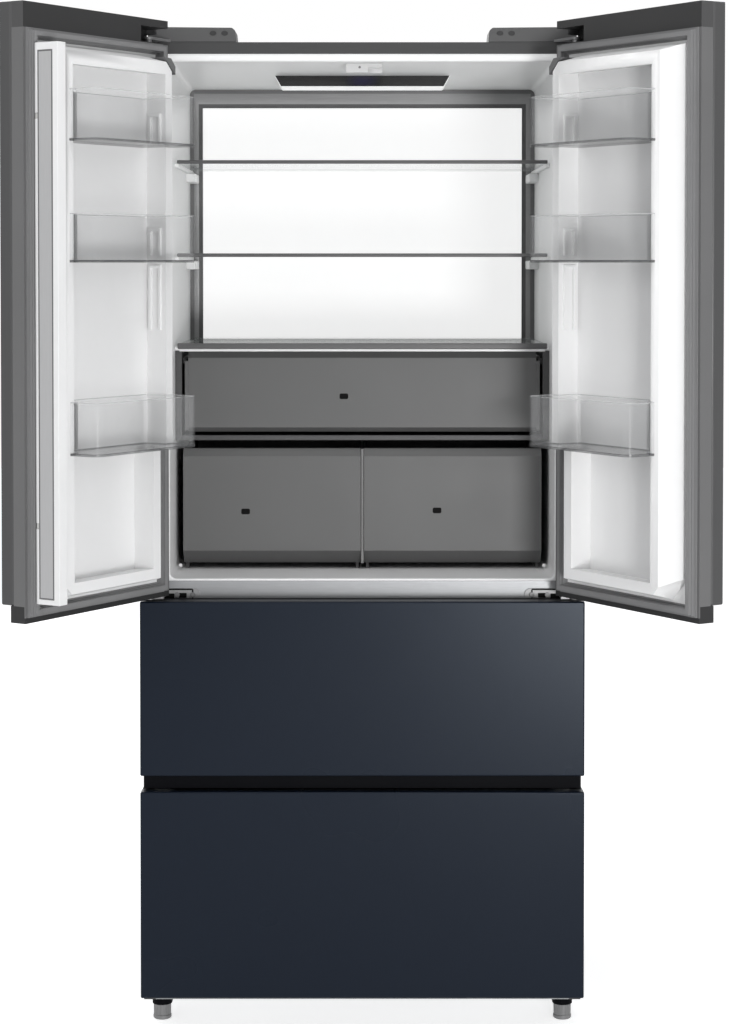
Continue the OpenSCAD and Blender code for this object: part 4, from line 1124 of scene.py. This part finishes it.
class FRIDGE_OT_base(bpy.types.Operator):
    """Stand the case on its feet and rollers, and fill the machine bay"""

    bl_idname = "fridge.base"
    bl_label = "Base and machine bay"

    def execute(self, context):
        softened("base_pan", "back", 0.0003, 1, 40)
        bm = outline_of("foot_housings")
        cut(bm, (0, 0, CUP_LOW), (0, 0, 1), drop_below=True)
        bmesh.ops.holes_fill(bm, edges=[e for e in bm.edges if e.is_boundary])
        round_edges(bm, sharp_edges(bm, 40), 0.0008, 2)
        # The cups take the near black finish as painted shade under the lower drawer
        stand_in(bm, "foot_cups", "foot_housings", "core", crease=40)
        softened("compressor", "enamel", 0.0012, 2, 40)
        softened("machine_cover", "back", 0.0003, 1, 40)
        softened("cord_gland", "black", 0.0006, 2, 40)
        for side in ("left", "right"):
            node = side + "_foot"
            softened(node, "foot", 0.0006)
            low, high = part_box(node)
            middle = (low + high) / 2
            bm = bmesh.new()
            radius = (high.x - low.x) / 2 - 0.0006
            place = Matrix.Translation((middle.x, middle.y, SLEEVE_Z))
            add_disc(bm, place, radius * 0.97, radius, SLEEVE_H, 36)
            ribs = [f for f in bm.faces if abs(f.normal.z) < 0.5][::2]
            bmesh.ops.inset_individual(bm, faces=ribs, thickness=0.0005, depth=-0.0006, use_even_offset=True)
            piece(bm, side + "_foot_sleeve", body_of(node), "foot", slot=slot_of(node), crease=25)
            softened(side + "_roller", "nylon", 0.0005, 2, 40)
        return {"FINISHED"}


def seen_rays(tree):
    """One for rays that show the backdrop itself, nought for rays that light the object."""
    path = tree.nodes.new("ShaderNodeLightPath")
    first = tree.nodes.new("ShaderNodeMath")
    first.operation = "MAXIMUM"
    second = tree.nodes.new("ShaderNodeMath")
    second.operation = "MAXIMUM"
    tree.links.new(path.outputs["Is Camera Ray"], first.inputs[0])
    tree.links.new(path.outputs["Is Glossy Ray"], first.inputs[1])
    tree.links.new(first.outputs[0], second.inputs[0])
    tree.links.new(path.outputs["Is Transmission Ray"], second.inputs[1])
    return second.outputs[0]


class FRIDGE_OT_stage(bpy.types.Operator):
    """Set up the floor, the light and the camera"""

    bl_idname = "fridge.stage"
    bl_label = "Studio"

    def execute(self, context):
        scene = context.scene
        bm = bmesh.new()
        bmesh.ops.create_grid(bm, x_segments=1, y_segments=1, size=STUDIO_FLOOR_HALF)
        mesh = bpy.data.meshes.new("Studio floor")
        bm.to_mesh(mesh)
        bm.free()
        floor = bpy.data.objects.new("studio_floor", mesh)
        scene.collection.objects.link(floor)
        material, tree, shader = blank("Pale floor")
        spots = grain(tree, 2.0, 2.0)
        tint(tree, shader, spots, (0.88, 0.88, 0.88), (0.90, 0.90, 0.90))
        shader.inputs["Roughness"].default_value = 0.9
        shader.inputs["Specular IOR Level"].default_value = 0.1
        shader.inputs["Emission Color"].default_value = (1, 1, 1, 1)
        lift = tree.nodes.new("ShaderNodeMath")
        lift.operation = "MULTIPLY"
        lift.inputs[1].default_value = FLOOR_LIFT
        tree.links.new(seen_rays(tree), lift.inputs[0])
        tree.links.new(lift.outputs[0], shader.inputs["Emission Strength"])
        mesh.materials.append(material)

        world = bpy.data.worlds.new("Studio")
        world.use_nodes = True
        scene.world = world
        tree = world.node_tree
        tree.nodes.clear()
        out = tree.nodes.new("ShaderNodeOutputWorld")
        soft = tree.nodes.new("ShaderNodeBackground")
        soft.inputs["Color"].default_value = (0.97, 0.98, 1.0, 1)
        soft.inputs["Strength"].default_value = SOFT_LEVEL
        seen = tree.nodes.new("ShaderNodeBackground")
        seen.inputs["Color"].default_value = (1, 1, 1, 1)
        seen.inputs["Strength"].default_value = SEEN_LEVEL
        mix = tree.nodes.new("ShaderNodeMixShader")
        tree.links.new(seen_rays(tree), mix.inputs["Fac"])
        tree.links.new(soft.outputs[0], mix.inputs[1])
        tree.links.new(seen.outputs[0], mix.inputs[2])
        tree.links.new(mix.outputs[0], out.inputs["Surface"])

        for name, place, size, watts, target in LAMPS:
            light = bpy.data.lights.new(name, "AREA")
            light.shape = "SQUARE"
            light.size = size
            light.energy = watts
            lamp = bpy.data.objects.new(name, light)
            lamp.location = place
            aim = Vector(target) - Vector(place)
            lamp.rotation_euler = aim.to_track_quat("-Z", "Y").to_euler()
            scene.collection.objects.link(lamp)

        camera_data = bpy.data.cameras.new("Camera")
        camera_data.lens = CAMERA_LENS
        camera_data.sensor_width = 36
        camera_data.shift_x, camera_data.shift_y = CAMERA_SHIFT
        camera_data.clip_end = 100
        camera = bpy.data.objects.new("Camera", camera_data)
        camera.location = CAMERA_PLACE
        camera.rotation_euler = (math.radians(90 + CAMERA_TILT), 0, 0)
        scene.collection.objects.link(camera)
        scene.camera = camera
        scene.view_settings.view_transform = "Standard"
        return {"FINISHED"}


STEPS = (
    FRIDGE_OT_finishes,
    FRIDGE_OT_stage,
    FRIDGE_OT_case,
    FRIDGE_OT_liners,
    FRIDGE_OT_rear_duct,
    FRIDGE_OT_console,
    FRIDGE_OT_shelves,
    FRIDGE_OT_crispers,
    FRIDGE_OT_hinges,
    FRIDGE_OT_drawer_fronts,
    FRIDGE_OT_door_fronts,
    FRIDGE_OT_door_liners,
    FRIDGE_OT_seals,
    FRIDGE_OT_door_shelves,
    FRIDGE_OT_mullion,
    FRIDGE_OT_drawers,
    FRIDGE_OT_base,
)


class FRIDGE_PT_panel(bpy.types.Panel):
    """Lists the pieces in the order they are made"""

    bl_label = "Refrigerator"
    bl_idname = "FRIDGE_PT_panel"
    bl_space_type = "VIEW_3D"
    bl_region_type = "UI"
    bl_category = "Refrigerator"

    def draw(self, context):
        column = self.layout.column()
        for group in (context.scene.fridge_sizes, context.scene.fridge_colours):
            for key in group.__annotations__:
                column.prop(group, key)
        for step in STEPS:
            column.operator(step.bl_idname)


CLASSES = (FridgeSizes, FridgeColours, *STEPS, FRIDGE_PT_panel)


def register():
    """Registers the classes and hangs their settings on the scene."""
    for cls in CLASSES:
        bpy.utils.register_class(cls)
    bpy.types.Scene.fridge_sizes = bpy.props.PointerProperty(type=FridgeSizes)
    bpy.types.Scene.fridge_colours = bpy.props.PointerProperty(type=FridgeColours)


def unregister():
    """Takes off what register put on."""
    del bpy.types.Scene.fridge_colours
    del bpy.types.Scene.fridge_sizes
    for cls in reversed(CLASSES):
        bpy.utils.unregister_class(cls)


def main():
    """Makes the whole refrigerator."""
    register()
    for step in STEPS:
        group, name = step.bl_idname.split(".")
        getattr(getattr(bpy.ops, group), name)()


if __name__ == "__main__":
    main()
